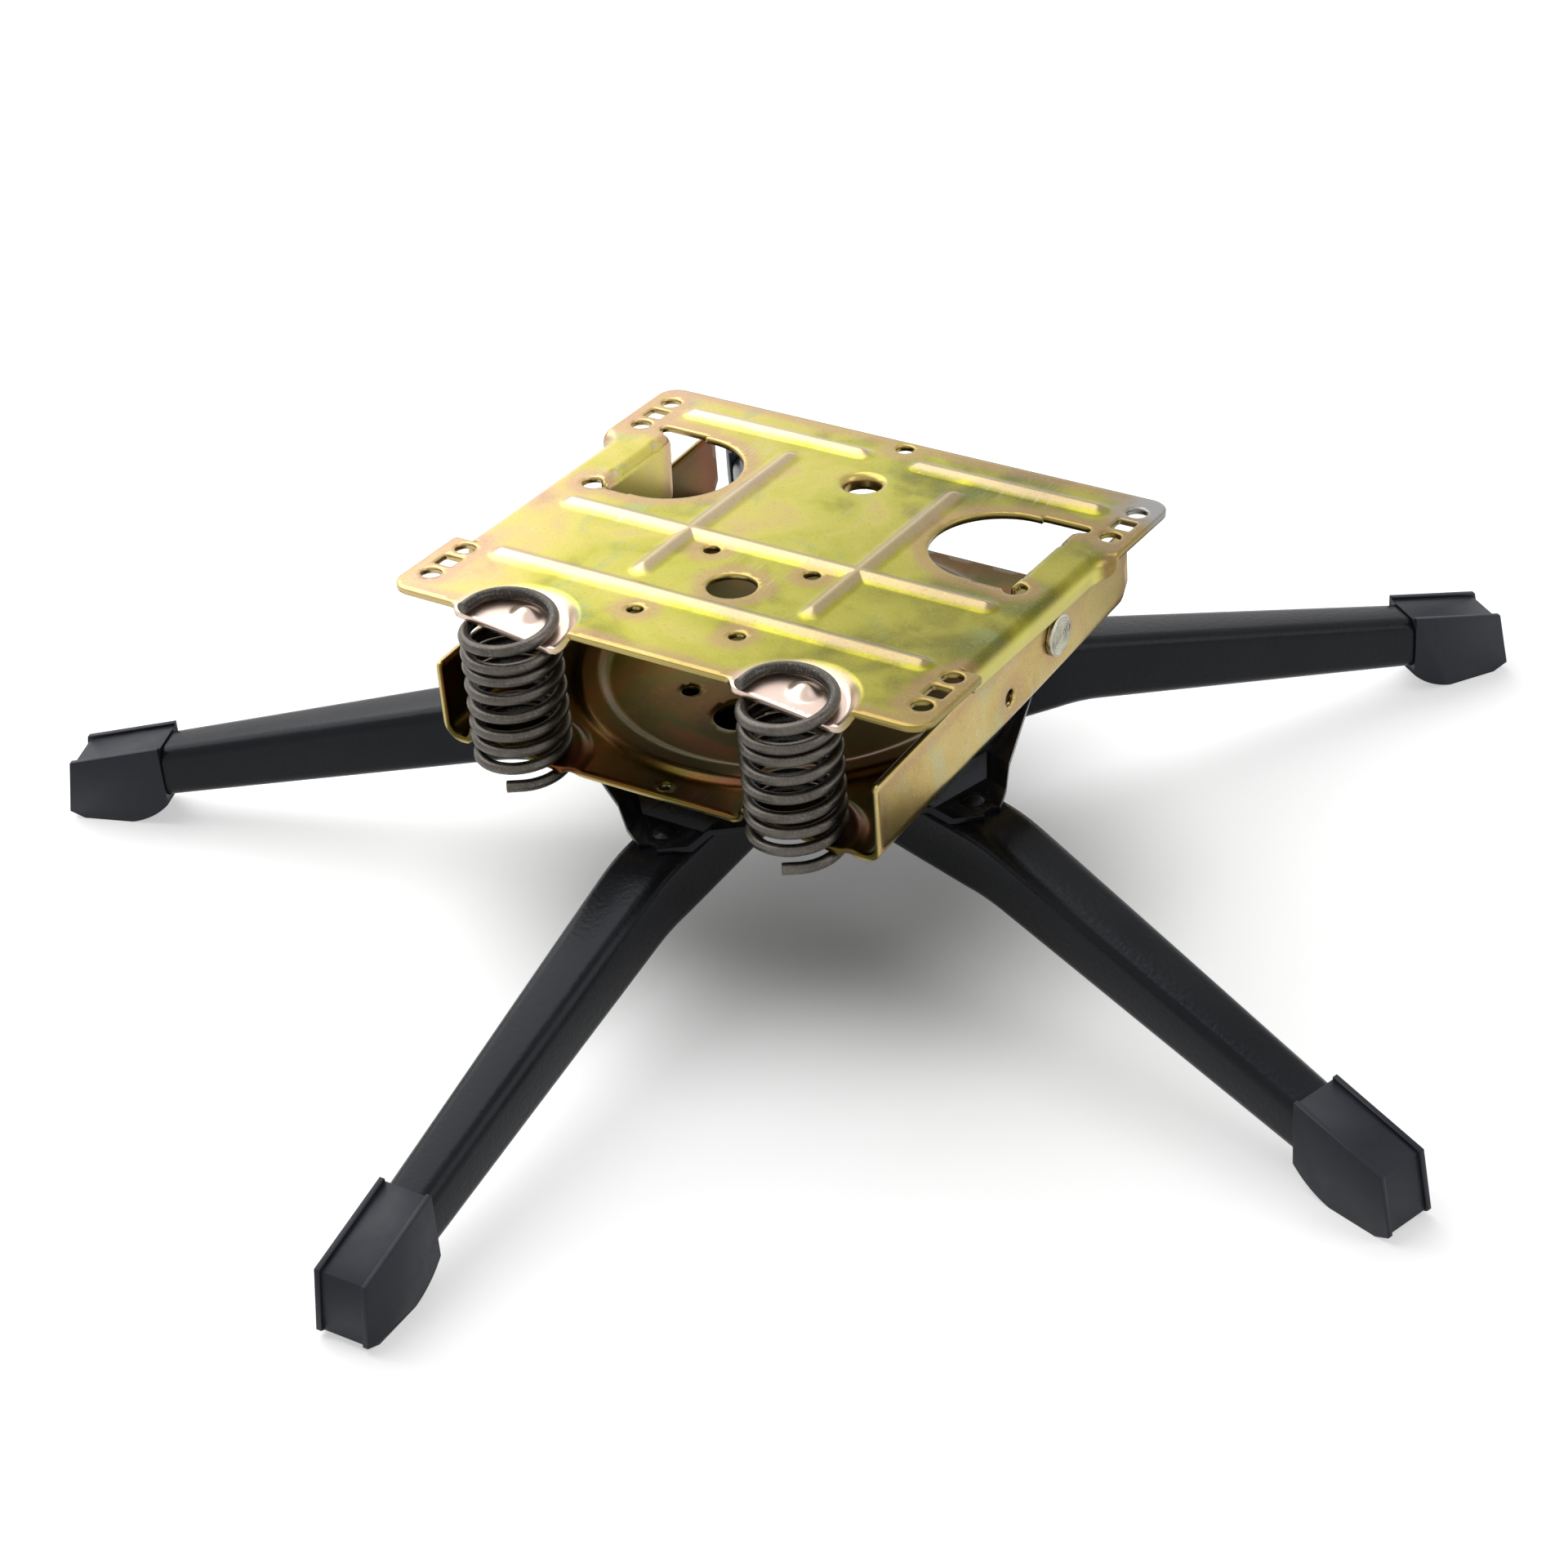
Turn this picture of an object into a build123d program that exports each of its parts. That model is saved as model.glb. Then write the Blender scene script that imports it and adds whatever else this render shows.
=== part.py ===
from build123d import *
from math import atan, cos, degrees, hypot, pi, radians, sin, sqrt, tan
import os

# Office chair tilt mechanism on a five-legged steel base, in millimetres.
# The origin is where the swivel axis meets the floor. +Z is up, -Y is the
# front, where the two springs are, and one leg points straight to the front.

# Five-legged base
leg_count = 5
leg_first_angle = -90
leg_top_z = 78
leg_root_height = 31
leg_tip_height = 23
leg_root_width = 27
leg_tip_width = 19.6
leg_corner = 6
leg_wall = 1.8
leg_tip_low_z = 6
leg_bend_length = 20
leg_length = 312

# Foot caps
cap_overlap = 31
cap_end_top = 11.1
cap_end_low = 15.5
cap_end_low_z = 3
cap_wall = 2.2
cap_half_width = 11.6
cap_cheek = 2.4
cap_recess = 1.2
cap_sole_front = 9
cap_sole_back = 13
cap_clearance = 0.1

# Pressed hub plate that ties the legs together
hub_sheet = 2.5
hub_plateau_z = 89.5
hub_track_margin = 3.5
hub_rim_z = 87
hub_rim_run = 3
hub_step_lean = 45
hub_ear_half_width = 14
hub_ear_reach = 20.9
hub_leg_overhang = 6.4
hub_notch_diameter = 9.5
hub_notch_inset = 0.9
hub_rivet_inset = 6.5
hub_rivet_head = 10
hub_rivet_head_height = 1.8
hub_rivet_shank = 6
hub_rivet_reach = 4

# Swivel race between the hub and the housing
ball_diameter = 10
ball_count = 20
race_radius = 83
race_clearance = 0.15
cage_width = 12
cage_height = 2.8
cage_pocket_clearance = 0.1

# King pin that holds the housing down on the race
pin_diameter = 14
pin_head_diameter = 30
pin_head_height = 3
pin_foot_diameter = 24
pin_foot_height = 5
pin_running_fit = 0.05
bush_wall = 2
bush_flange_diameter = 32
bush_flange_height = 1.5
washer_height = 1.5
end_play = 0.3

# Tilt housing, a channel of zinc plated sheet
sheet = 2.8
housing_half_width = 99.6
housing_front = -104.1
housing_back = 97.4
housing_floor_z = 96.6
housing_wall_top_z = 132
housing_bend = 8
housing_corner_cut = 5
bead_half_width = 7.5
bead_crown_half_width = 4
bead_rise = 2.6
side_hole_diameter = 7
side_hole_y = -3.1
side_hole_z = 111.3
floor_hole_diameter = 20
floor_hole_y = -44
small_floor_hole_diameter = 7
small_floor_hole_x = 27
small_floor_hole_y = -37
edge_hole_diameter = 5
edge_hole_y = -98

# Tilt axis
pivot_y = 35.4
pivot_z = 118.3
rivet_diameter = 10
rivet_head_diameter = 17.5
rivet_head_height = 2.5
rivet_running_fit = 0.05
rivet_wall_fit = 0.02
pivot_bush_wall = 1.5
pivot_bush_flange = 0.6
pivot_bush_flange_diameter = 18
pivot_washer_diameter = 20
pivot_washer_height = 1.2
rivet_tail_diameter = 15
rivet_tail_height = 2
side_play = 0.1

# Seat plate, drawn flat with its top face at height zero, then tilted
plate_angle = 4
plate_z = 154.7
plate_half_width = 119.5
plate_front = -102.5
plate_back = 100
plate_corner = 9
seat_hole_x = 110
seat_hole_diameter = 8.4
seat_round_places = (63.4, 86.5)
seat_square_place = 75
big_hole_diameter = 20
big_hole_place = -41
small_hole_diameter = 6.6
small_hole_x = 23
small_hole_places = (-19, -74)
back_hole_diameter = 7.5
back_hole_place = 93.6
lip_hole_diameter = 15
lip_hole_place = 58.9
lip_wall = 2.8
lip_depth = 4
lip_flare = 1.6

# Stiffening ribs pressed up in the seat plate
rib_half_width = 4.6
rib_crown_half_width = 2.2
rib_rise = 2
front_rib_place = -60
middle_rib_place = -10
back_rib_place = 82
long_rib_reach = 94.5
back_rib_inner = 14
cross_rib_x = 38.5
cross_rib_front = -45
cross_rib_back = 65

# Side flanges turned down from the seat plate
flange_crease = 109
flange_bend = 5.5
flange_depth = 10
flange_front = -56
flange_slit = 1
flange_turn_place = 40
flange_turn_radius = 15.1

# Openings that the two pivot ears are lanced and bent out of
ear_opening_x = 76.5
ear_opening_place = 36
ear_opening_radius = 29
ear_opening_step_x = 79
ear_opening_front = 6.2
ear_opening_back = 66.8
ear_slot_x = 100.5
ear_slot_width = 5.6
relief_hole_x = 97
relief_hole_place = 8.5
relief_hole_diameter = 10
ear_bend = 4.6
ear_half_width = 24
ear_round_depth = 23
gusset_radius = 3.4
gusset_spread = 15

# Springs, wound from round wire, alike on both sides
spring_inset = 37.2
spring_y = -102.4
wire = 4.8
coil_radius = 17.45
seat_gap = 0.6
under_gap = 0.7
close_pitch = 5.5
hook_turns = 1.5
upper_close_turns = 1.25
open_turns = 3.45
lower_close_turns = 0.8
tail_turns = 0.18
end_run = 4.5

# Pockets pressed into both sheets where the springs hook over them
pocket_floor_radius = 22.3
pocket_mouth_radius = 27.5
seat_pocket_drop = 3.4
floor_pocket_rise = 5.2
tongue_reach = 4
dimple_radius = 6
dimple_crown_radius = 2
dimple_rise = 3.2
dimple_x = 2
dimple_y = 8.4

overrun = 5
spread = 400

# Worked out from the sizes above
leg_step = 360 / leg_count
hub_ear_top = leg_top_z + hub_sheet
hub_plateau_radius = race_radius + hub_track_margin
hub_step_foot = hub_plateau_radius + (hub_plateau_z - hub_ear_top) * tan(radians(hub_step_lean))
hub_corner = hub_step_foot + hub_ear_reach
hub_rivet_place = hub_step_foot + hub_rivet_inset
leg_bend_start = hub_corner - hub_leg_overhang
leg_run = leg_length - leg_bend_start - leg_bend_length / 2
leg_fall = (leg_top_z - leg_tip_height - leg_tip_low_z) / leg_run
cap_inner = leg_length - cap_overlap
spring_x = housing_half_width - spring_inset
seat_plane = Pos(0, 0, plate_z) * Rot(X=-plate_angle)
housing_floor_top = housing_floor_z + sheet
housing_inner = housing_half_width - sheet
ball_z = housing_floor_z + bead_rise - race_clearance - ball_diameter / 2
close_turns = upper_close_turns + lower_close_turns
hook_pitch = wire + sheet + seat_gap + under_gap
hook_angle = degrees(atan(hook_pitch / (4 * coil_radius)))
# the ears stand inside the housing walls, a bush flange away
ear_outer = housing_inner - pivot_bush_flange - 2 * side_play
ear_inner = ear_outer - sheet


def block(x0, x1, y0, y1, z0, z1):
    """A box between two opposite corners."""
    return Pos((x0 + x1) / 2, (y0 + y1) / 2, (z0 + z1) / 2) * Box(x1 - x0, y1 - y0, z1 - z0)


def rod(x, y, z0, z1, diameter):
    """An upright round bar between two heights."""
    return Pos(x, y, (z0 + z1) / 2) * Cylinder(diameter / 2, z1 - z0)


def cross_rod(x0, x1, y, z, diameter):
    """A round bar along X."""
    return Pos((x0 + x1) / 2, y, z) * Rot(Y=90) * Cylinder(diameter / 2, abs(x1 - x0))


def frustum(x, y, z0, z1, low_radius, high_radius):
    """An upright cone stump between two heights."""
    return Pos(x, y, (z0 + z1) / 2) * Cone(low_radius, high_radius, z1 - z0)


def both_sides(solid):
    """A right-hand solid with its mirror image."""
    return solid + mirror(solid, about=Plane.YZ)


def leg_top_at(r):
    """Height of a leg's top face: level, a short bend, then a steady slope."""
    along = r - leg_bend_start
    if along <= 0:
        return leg_top_z
    if along < leg_bend_length:
        return leg_top_z - leg_fall * along**2 / (2 * leg_bend_length)
    return leg_top_z - leg_fall * (along - leg_bend_length / 2)


def leg_height_at(r):
    share = max(0, r - leg_bend_start) / (leg_length - leg_bend_start)
    return leg_root_height + (leg_tip_height - leg_root_height) * share


def leg_width_at(r):
    share = max(0, r - leg_bend_start) / (leg_length - leg_bend_start)
    return leg_root_width + (leg_tip_width - leg_root_width) * share


def leg_skin(grow, end):
    """The leg's outer form along +X, made larger all round by grow."""
    bend_shares = (0, 0.25, 0.5, 0.75, 1)
    stations = [0] + [leg_bend_start + leg_bend_length * s for s in bend_shares] + [end]
    sections = []
    for r in stations:
        middle = leg_top_at(r) - leg_height_at(r) / 2
        plane = Plane(origin=(r, 0, middle), x_dir=(0, 1, 0), z_dir=(1, 0, 0))
        width = leg_width_at(r) + 2 * grow
        height = leg_height_at(r) + 2 * grow
        sections.append(plane * RectangleRounded(width, height, leg_corner + grow))
    return loft(sections, ruled=True)


def leg():
    """One tapering tube, mitred against its neighbours on the swivel axis."""
    tube = leg_skin(0, leg_length) - leg_skin(-leg_wall, leg_length)
    side = leg_length * tan(radians(leg_step / 2))
    reach = leg_length + overrun
    wide = side * reach / leg_length
    wedge = extrude(make_face(Polyline((0, 0), (reach, -wide), (reach, wide), close=True)), amount=spread)
    hole = rod(hub_rivet_place, 0, leg_top_z - leg_wall - overrun, leg_top_z + overrun, hub_rivet_shank)
    return (tube & wedge) - hole


def cap_side(inset):
    """Side view of a foot cap, drawn in X and Z, smaller by inset on top and at the end."""
    inner_top = leg_top_at(cap_inner) + cap_wall - inset
    end_top_z = leg_top_at(leg_length + cap_end_top) + cap_wall - inset
    inner_low = leg_top_at(cap_inner) - leg_height_at(cap_inner) - cap_wall
    lean = cap_end_low - cap_end_top
    corner_x = leg_length + cap_end_low - inset
    sole_back = leg_length - cap_sole_back
    outline = Polyline(
        (sole_back, 0),
        (leg_length + cap_sole_front, 0),
        (corner_x, cap_end_low_z),
        (corner_x - lean, end_top_z),
        (cap_inner, inner_top),
        (cap_inner, inner_low),
    )
    swell = (sole_back - cap_inner) / 2
    belly = ThreePointArc(
        (cap_inner, inner_low),
        (cap_inner + swell - cap_recess, inner_low / 2 - cap_recess),
        (sole_back, 0),
    )
    return Plane.XZ * make_face(outline + belly)


def foot_cap():
    """Plastic cap pushed over a leg's end: a core between two proud side cheeks."""
    core_half = cap_half_width - cap_cheek
    core = extrude(cap_side(cap_recess), amount=core_half, both=True)
    cheek = Pos(0, -core_half, 0) * extrude(cap_side(0), amount=cap_cheek)
    cap = core + cheek + mirror(cheek, about=Plane.XZ)
    return cap - leg_skin(cap_clearance, leg_length + cap_clearance)


def ring(points):
    """A body turned about the swivel axis from points given as radius and height."""
    return revolve(Plane.XZ * make_face(Polyline(*points, close=True)), axis=Axis.Z)


def race_groove(clearance):
    """The ball track's round cut, as a full ring."""
    section = Pos(race_radius, ball_z) * Circle(ball_diameter / 2 + clearance)
    return revolve(Plane.XZ * section, axis=Axis.Z)


def ear_space(sink):
    """The space over one ear along +X, leaning back to its top."""
    lean = tan(radians(hub_step_lean))
    # a sheet's two faces meet this far apart where it bends by the lean
    widen = sink * tan(radians(hub_step_lean / 2))
    outer = hub_corner + overrun
    faces = []
    for up in (0, hub_plateau_z - hub_ear_top + overrun):
        inner = hub_step_foot - widen - up * lean
        wide = hub_ear_half_width + widen + up * lean
        place = Pos((inner + outer) / 2, 0, hub_ear_top - sink + up)
        faces.append(place * Rectangle(outer - inner, 2 * wide))
    return loft(faces, ruled=True)


def hub_block(sink):
    """All that lies under the hub plate's top face, or under its lower face."""
    low = leg_top_z - overrun
    widen = sink * tan(radians(hub_step_lean / 2))
    block = ring(
        (
            (0, hub_plateau_z - sink),
            (hub_plateau_radius - widen, hub_plateau_z - sink),
            (hub_plateau_radius + hub_rim_run - widen, hub_rim_z - sink),
            (hub_corner, hub_rim_z - sink),
            (hub_corner, low),
            (0, low),
        )
    )
    for i in range(leg_count):
        block -= Rot(Z=leg_first_angle + i * leg_step) * ear_space(sink)
    return block


def hub_plate():
    """Pressed pentagon: a raised round plateau, and a corner down on every leg."""
    angles = [radians(leg_first_angle + i * leg_step) for i in range(leg_count)]
    corners = [(hub_corner * cos(a), hub_corner * sin(a)) for a in angles]
    outline = extrude(make_face(Polyline(*corners, close=True)), amount=spread)
    plate = ((hub_block(0) - hub_block(hub_sheet)) & outline) - race_groove(race_clearance)
    plate -= rod(0, 0, leg_top_z, hub_plateau_z + overrun, pin_diameter)
    hole = rod(hub_rivet_place, 0, leg_top_z - overrun, hub_ear_top + overrun, hub_rivet_shank)
    notch = rod(hub_corner - hub_notch_inset, 0, leg_top_z - overrun, hub_ear_top + overrun, hub_notch_diameter)
    for i in range(leg_count):
        plate -= Rot(Z=leg_first_angle + i * leg_step) * (hole + notch)
    return plate


def hub_rivets():
    """Five dome rivets, one through each ear into its leg."""
    # a dome of this height over this width is cut from a ball of this radius
    half = hub_rivet_head / 2
    dome_radius = (half**2 + hub_rivet_head_height**2) / (2 * hub_rivet_head_height)
    ball = Pos(0, 0, hub_ear_top + hub_rivet_head_height - dome_radius) * Sphere(dome_radius)
    dome = ball & rod(0, 0, hub_ear_top, hub_ear_top + 2 * hub_rivet_head_height, 2 * hub_rivet_head)
    rivet = dome + rod(0, 0, leg_top_z - hub_rivet_reach, hub_ear_top + hub_rivet_head_height / 2, hub_rivet_shank)
    rivet = Pos(hub_rivet_place, 0, 0) * rivet
    return Compound([Rot(Z=leg_first_angle + i * leg_step) * rivet for i in range(leg_count)])


def king_pin():
    """Headed pin, riveted over under the hub plate."""
    head_low = housing_floor_top + bush_flange_height + washer_height + end_play
    plate_low = hub_plateau_z - hub_sheet
    head = rod(0, 0, head_low, head_low + pin_head_height, pin_head_diameter)
    head = chamfer(head.edges().group_by(Axis.Z)[-1], pin_head_height / 3)
    foot = rod(0, 0, plate_low - pin_foot_height, plate_low, pin_foot_diameter)
    foot = chamfer(foot.edges().group_by(Axis.Z)[0], pin_foot_height / 3)
    return head + foot + rod(0, 0, plate_low, head_low, pin_diameter)


def king_washer():
    """Plain steel washer under the pin's head, with the end play below it."""
    top = housing_floor_top + bush_flange_height + washer_height + end_play
    bore = pin_diameter + 2 * pin_running_fit
    return rod(0, 0, top - washer_height, top, bush_flange_diameter) - rod(
        0, 0, top - washer_height - overrun, top + overrun, bore
    )


def king_bush():
    """Flanged plastic bush pressed into the housing floor."""
    bore = pin_diameter + 2 * pin_running_fit
    outer = pin_diameter + 2 * bush_wall
    low = hub_plateau_z + end_play
    top = housing_floor_top + bush_flange_height
    bush = rod(0, 0, low, top, outer) + rod(0, 0, housing_floor_top, top, bush_flange_diameter)
    return bush - rod(0, 0, low - overrun, top + overrun, bore)


def race_balls():
    """The ring of steel balls."""
    ball = Pos(race_radius, 0, ball_z) * Sphere(ball_diameter / 2)
    return Compound([Rot(Z=i * 360 / ball_count) * ball for i in range(ball_count)])


def ball_cage():
    """Plastic ring that keeps the balls apart."""
    low = ball_z - cage_height / 2
    inner = 2 * race_radius - cage_width
    outer = 2 * race_radius + cage_width
    cage = rod(0, 0, low, low + cage_height, outer) - rod(0, 0, low - overrun, ball_z + overrun, inner)
    hole_diameter = ball_diameter + 2 * cage_pocket_clearance
    pocket = rod(race_radius, 0, low - overrun, ball_z + overrun, hole_diameter)
    for i in range(ball_count):
        cage -= Rot(Z=i * 360 / ball_count) * pocket
    return cage


def sloped_half(x, z, above):
    """All the space above or below the hooked wire's slope through x and z."""
    half = block(-spread, spread, -spread, spread, 0, spread)
    if not above:
        half = block(-spread, spread, -spread, spread, -spread, 0)
    return Pos(x, 0, z) * Rot(Y=hook_angle) * half


def dimple(x, z):
    """Cone that stands up inside a spring, following the pocket's slope."""
    lift = Pos(x, spring_y, z) * Rot(Y=hook_angle)
    return lift * frustum(dimple_x, dimple_y, 0, dimple_rise, dimple_radius, dimple_crown_radius)


def with_seat_pocket(plate, x):
    """The seat plate with one spring pocket pressed down into it."""
    floor_z = plate_height_at(spring_y) - seat_pocket_drop
    top_z = plate_height_at(spring_y - pocket_mouth_radius) + sheet
    deep_z = floor_z - pocket_mouth_radius * tan(radians(hook_angle)) - sheet
    # the cone's side follows the two radii over the pocket's own depth
    flare = (pocket_mouth_radius - pocket_floor_radius) / seat_pocket_drop
    high_radius = pocket_floor_radius + flare * (top_z - floor_z)
    low_radius = pocket_floor_radius - flare * (floor_z - deep_z) / 2
    cone = frustum(x, spring_y, deep_z, top_z, low_radius, high_radius)
    edge = plate_front - tongue_reach
    reach = block(x - spread, x + spread, edge, spring_y + spread, -spread, spread)
    inside = cone & sloped_half(x, floor_z, True)
    flat = seat_plane * block(-spread, spread, -spread, spread, -spread, -sheet)
    outside = Pos(0, 0, -sheet) * cone & sloped_half(x, floor_z - sheet, True)
    outside &= seat_plane * block(-spread, spread, -spread, spread, -spread, 0)
    tongue = (outside & reach) + (plate - inside)
    tongue -= inside & reach
    bump = dimple(x, floor_z)
    return tongue + bump - Pos(0, 0, -sheet) * bump


def with_floor_pocket(floor, x):
    """The housing floor with one spring pocket pressed up into it."""
    crown_z = housing_floor_top + floor_pocket_rise
    low_z = housing_floor_top
    high_z = crown_z + pocket_mouth_radius * tan(radians(hook_angle))
    cone = frustum(x, spring_y, low_z, high_z, pocket_mouth_radius, pocket_floor_radius)
    edge = housing_front - tongue_reach
    reach = block(x - spread, x + spread, edge, spring_y + spread, -spread, spread)
    outside = (cone & sloped_half(x, crown_z, False)) & reach
    inside = Pos(0, 0, -sheet) * (cone & sloped_half(x, crown_z, False))
    return floor + outside - inside


def plate_height_at(y):
    """Height of the seat plate's top face over a place."""
    return plate_z - y * tan(radians(plate_angle))


def bead(low, high, rise):
    """A pressed bead standing on height zero, between two outlines."""
    return loft([low, Pos(0, 0, rise) * high], ruled=True)


def straight_bead(x0, x1, y0, y1):
    """A round-ended rib between two end centres."""
    length = hypot(x1 - x0, y1 - y0)
    turn = 0 if y0 == y1 else 90
    place = Pos((x0 + x1) / 2, (y0 + y1) / 2) * Rot(Z=turn)
    low = place * SlotCenterToCenter(length, 2 * rib_half_width)
    high = place * SlotCenterToCenter(length, 2 * rib_crown_half_width)
    return bead(low, high, rib_rise)


def seat_ribs():
    """All the ribs of the seat plate."""
    ribs = [
        straight_bead(-long_rib_reach, long_rib_reach, front_rib_place, front_rib_place),
        straight_bead(-long_rib_reach, long_rib_reach, middle_rib_place, middle_rib_place),
    ]
    for side in (-1, 1):
        ribs.append(straight_bead(*sorted((side * back_rib_inner, side * long_rib_reach)), back_rib_place, back_rib_place))
        ribs.append(straight_bead(side * cross_rib_x, side * cross_rib_x, cross_rib_front, cross_rib_back))
    return ribs


def flange_profile():
    """Cross-section of the turned-down edge, in X and Z."""
    outer = flange_crease + flange_bend
    inner_bend = flange_bend - sheet
    quarter = sqrt(2) / 2
    middle = (flange_crease + flange_bend * quarter, flange_bend * quarter - flange_bend)
    middle_inner = (flange_crease + inner_bend * quarter, inner_bend * quarter - flange_bend)
    edges = ThreePointArc((flange_crease, 0), middle, (outer, -flange_bend))
    edges += Polyline(
        (outer, -flange_bend), (outer, -flange_depth), (outer - sheet, -flange_depth), (outer - sheet, -flange_bend)
    )
    edges += ThreePointArc((outer - sheet, -flange_bend), middle_inner, (flange_crease, -sheet))
    edges += Line((flange_crease, -sheet), (flange_crease, 0))
    return make_face(edges)


def right_flange():
    """The right-hand turned edge with its curved rear end."""
    start = Plane.XZ * flange_profile()
    straight = extrude(Pos(0, flange_turn_place, 0) * start, amount=flange_turn_place - flange_front)
    centre_x = flange_crease + flange_turn_radius
    axis = Axis((centre_x, flange_turn_place, 0), (0, 0, -1))
    turned = revolve(Pos(0, flange_turn_place, 0) * start, axis=axis, revolution_arc=90)
    turned &= block(0, plate_half_width, flange_turn_place, spread, -spread, spread)
    return straight + turned


def right_flange_gap():
    """What the turned edge takes away from the flat blank."""
    beyond = plate_half_width + overrun
    gap = block(
        flange_crease, beyond, flange_front - flange_slit, flange_turn_place, -sheet - overrun, overrun
    )
    centre_x = flange_crease + flange_turn_radius
    corner = rod(centre_x, flange_turn_place, -sheet - overrun, overrun, 2 * flange_turn_radius)
    return gap + corner


def right_ear_opening():
    """The D-shaped opening, its rear slot and its relief hole."""
    low = -sheet - overrun
    disc = rod(ear_opening_x, ear_opening_place, low, overrun, 2 * ear_opening_radius)
    disc &= block(0, ear_opening_step_x, -spread, spread, -spread, spread)
    bend_x = ear_inner + ear_bend
    square = block(ear_opening_step_x, bend_x, ear_opening_front, ear_opening_back, low, overrun)
    slot_end = ear_slot_x - ear_slot_width / 2
    slot_y = ear_opening_back - ear_slot_width / 2
    slot = block(ear_opening_step_x, slot_end, ear_opening_back - ear_slot_width, ear_opening_back, low, overrun)
    slot += rod(slot_end, slot_y, low, overrun, ear_slot_width)
    relief = rod(relief_hole_x, relief_hole_place, low, overrun, relief_hole_diameter)
    return disc + square + slot + relief


def ear_profile():
    """Cross-section of a pivot ear with its bend, in X and Z."""
    bend_x = ear_inner + ear_bend
    inner_bend = ear_bend - sheet
    quarter = sqrt(2) / 2
    low = -ear_round_depth - ear_half_width - overrun
    edges = ThreePointArc(
        (bend_x, 0), (bend_x - ear_bend * quarter, ear_bend * quarter - ear_bend), (ear_inner, -ear_bend)
    )
    edges += Polyline((ear_inner, -ear_bend), (ear_inner, low), (ear_outer, low), (ear_outer, -ear_bend))
    edges += ThreePointArc(
        (ear_outer, -ear_bend), (bend_x - inner_bend * quarter, inner_bend * quarter - ear_bend), (bend_x, -sheet)
    )
    edges += Line((bend_x, -sheet), (bend_x, 0))
    return make_face(edges)


def pivot_in_plate():
    """The tilt axis in the flat plate's own place and depth."""
    spot = seat_plane.inverse() * Pos(0, pivot_y, pivot_z)
    return spot.position.Y, spot.position.Z


def right_ear():
    """The right-hand ear with its rounded end, two bend gussets and its bush hole."""
    front = ear_opening_place - ear_half_width
    back = ear_opening_place + ear_half_width
    ear = extrude(Pos(0, back, 0) * (Plane.XZ * ear_profile()), amount=back - front)
    keep = block(0, spread, front, back, -ear_round_depth, overrun)
    keep += cross_rod(0, spread, ear_opening_place, -ear_round_depth, 2 * ear_half_width)
    ear &= keep
    for side in (-gusset_spread, gusset_spread):
        ball = Pos(ear_outer, ear_opening_place + side, -sheet) * Sphere(gusset_radius)
        corner = block(ear_outer - sheet / 2, ear_inner + ear_bend, front, back, -ear_bend - sheet, -sheet / 2)
        ear += ball & corner
    axis_y, axis_z = pivot_in_plate()
    hole_diameter = rivet_diameter + 2 * rivet_running_fit + 2 * pivot_bush_wall
    return ear - cross_rod(ear_inner - overrun, ear_outer + overrun, axis_y, axis_z, hole_diameter)


def seat_holes():
    """Every plain hole of the seat plate."""
    low = -sheet - overrun
    holes = rod(0, big_hole_place, low, overrun, big_hole_diameter)
    holes += rod(0, back_hole_place, low, overrun, back_hole_diameter)
    for side in (-1, 1):
        for place in small_hole_places:
            holes += rod(side * small_hole_x, place, low, overrun, small_hole_diameter)
        for end in (-1, 1):
            for place in seat_round_places:
                holes += rod(side * seat_hole_x, end * place, low, overrun, seat_hole_diameter)
            square = Box(seat_hole_diameter, seat_hole_diameter, sheet + 2 * overrun)
            holes += Pos(side * seat_hole_x, end * seat_square_place, 0) * square
    return holes


def seat_plate():
    """The pressed seat plate, tilted to its resting angle."""
    length = plate_back - plate_front
    blank = Pos(0, (plate_back + plate_front) / 2, -sheet) * extrude(
        RectangleRounded(2 * plate_half_width, length, plate_corner), amount=sheet
    )
    blank -= both_sides(right_flange_gap())
    blank += both_sides(right_flange())
    ribs = seat_ribs()
    for rib in ribs:
        blank += rib
    for rib in ribs:
        blank -= Pos(0, 0, -sheet) * rib
    blank -= both_sides(right_ear_opening())
    blank += both_sides(right_ear())
    lip_low = -sheet - lip_depth
    blank += rod(0, lip_hole_place, lip_low, -sheet, lip_hole_diameter + 2 * lip_wall)
    blank -= rod(0, lip_hole_place, lip_low - overrun, overrun, lip_hole_diameter)
    blank -= frustum(
        0, lip_hole_place, -lip_flare, 0, lip_hole_diameter / 2, lip_hole_diameter / 2 + lip_flare
    )
    blank -= seat_holes()
    plate = seat_plane * blank
    for x in (-spring_x, spring_x):
        plate = with_seat_pocket(plate, x)
    return plate


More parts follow.
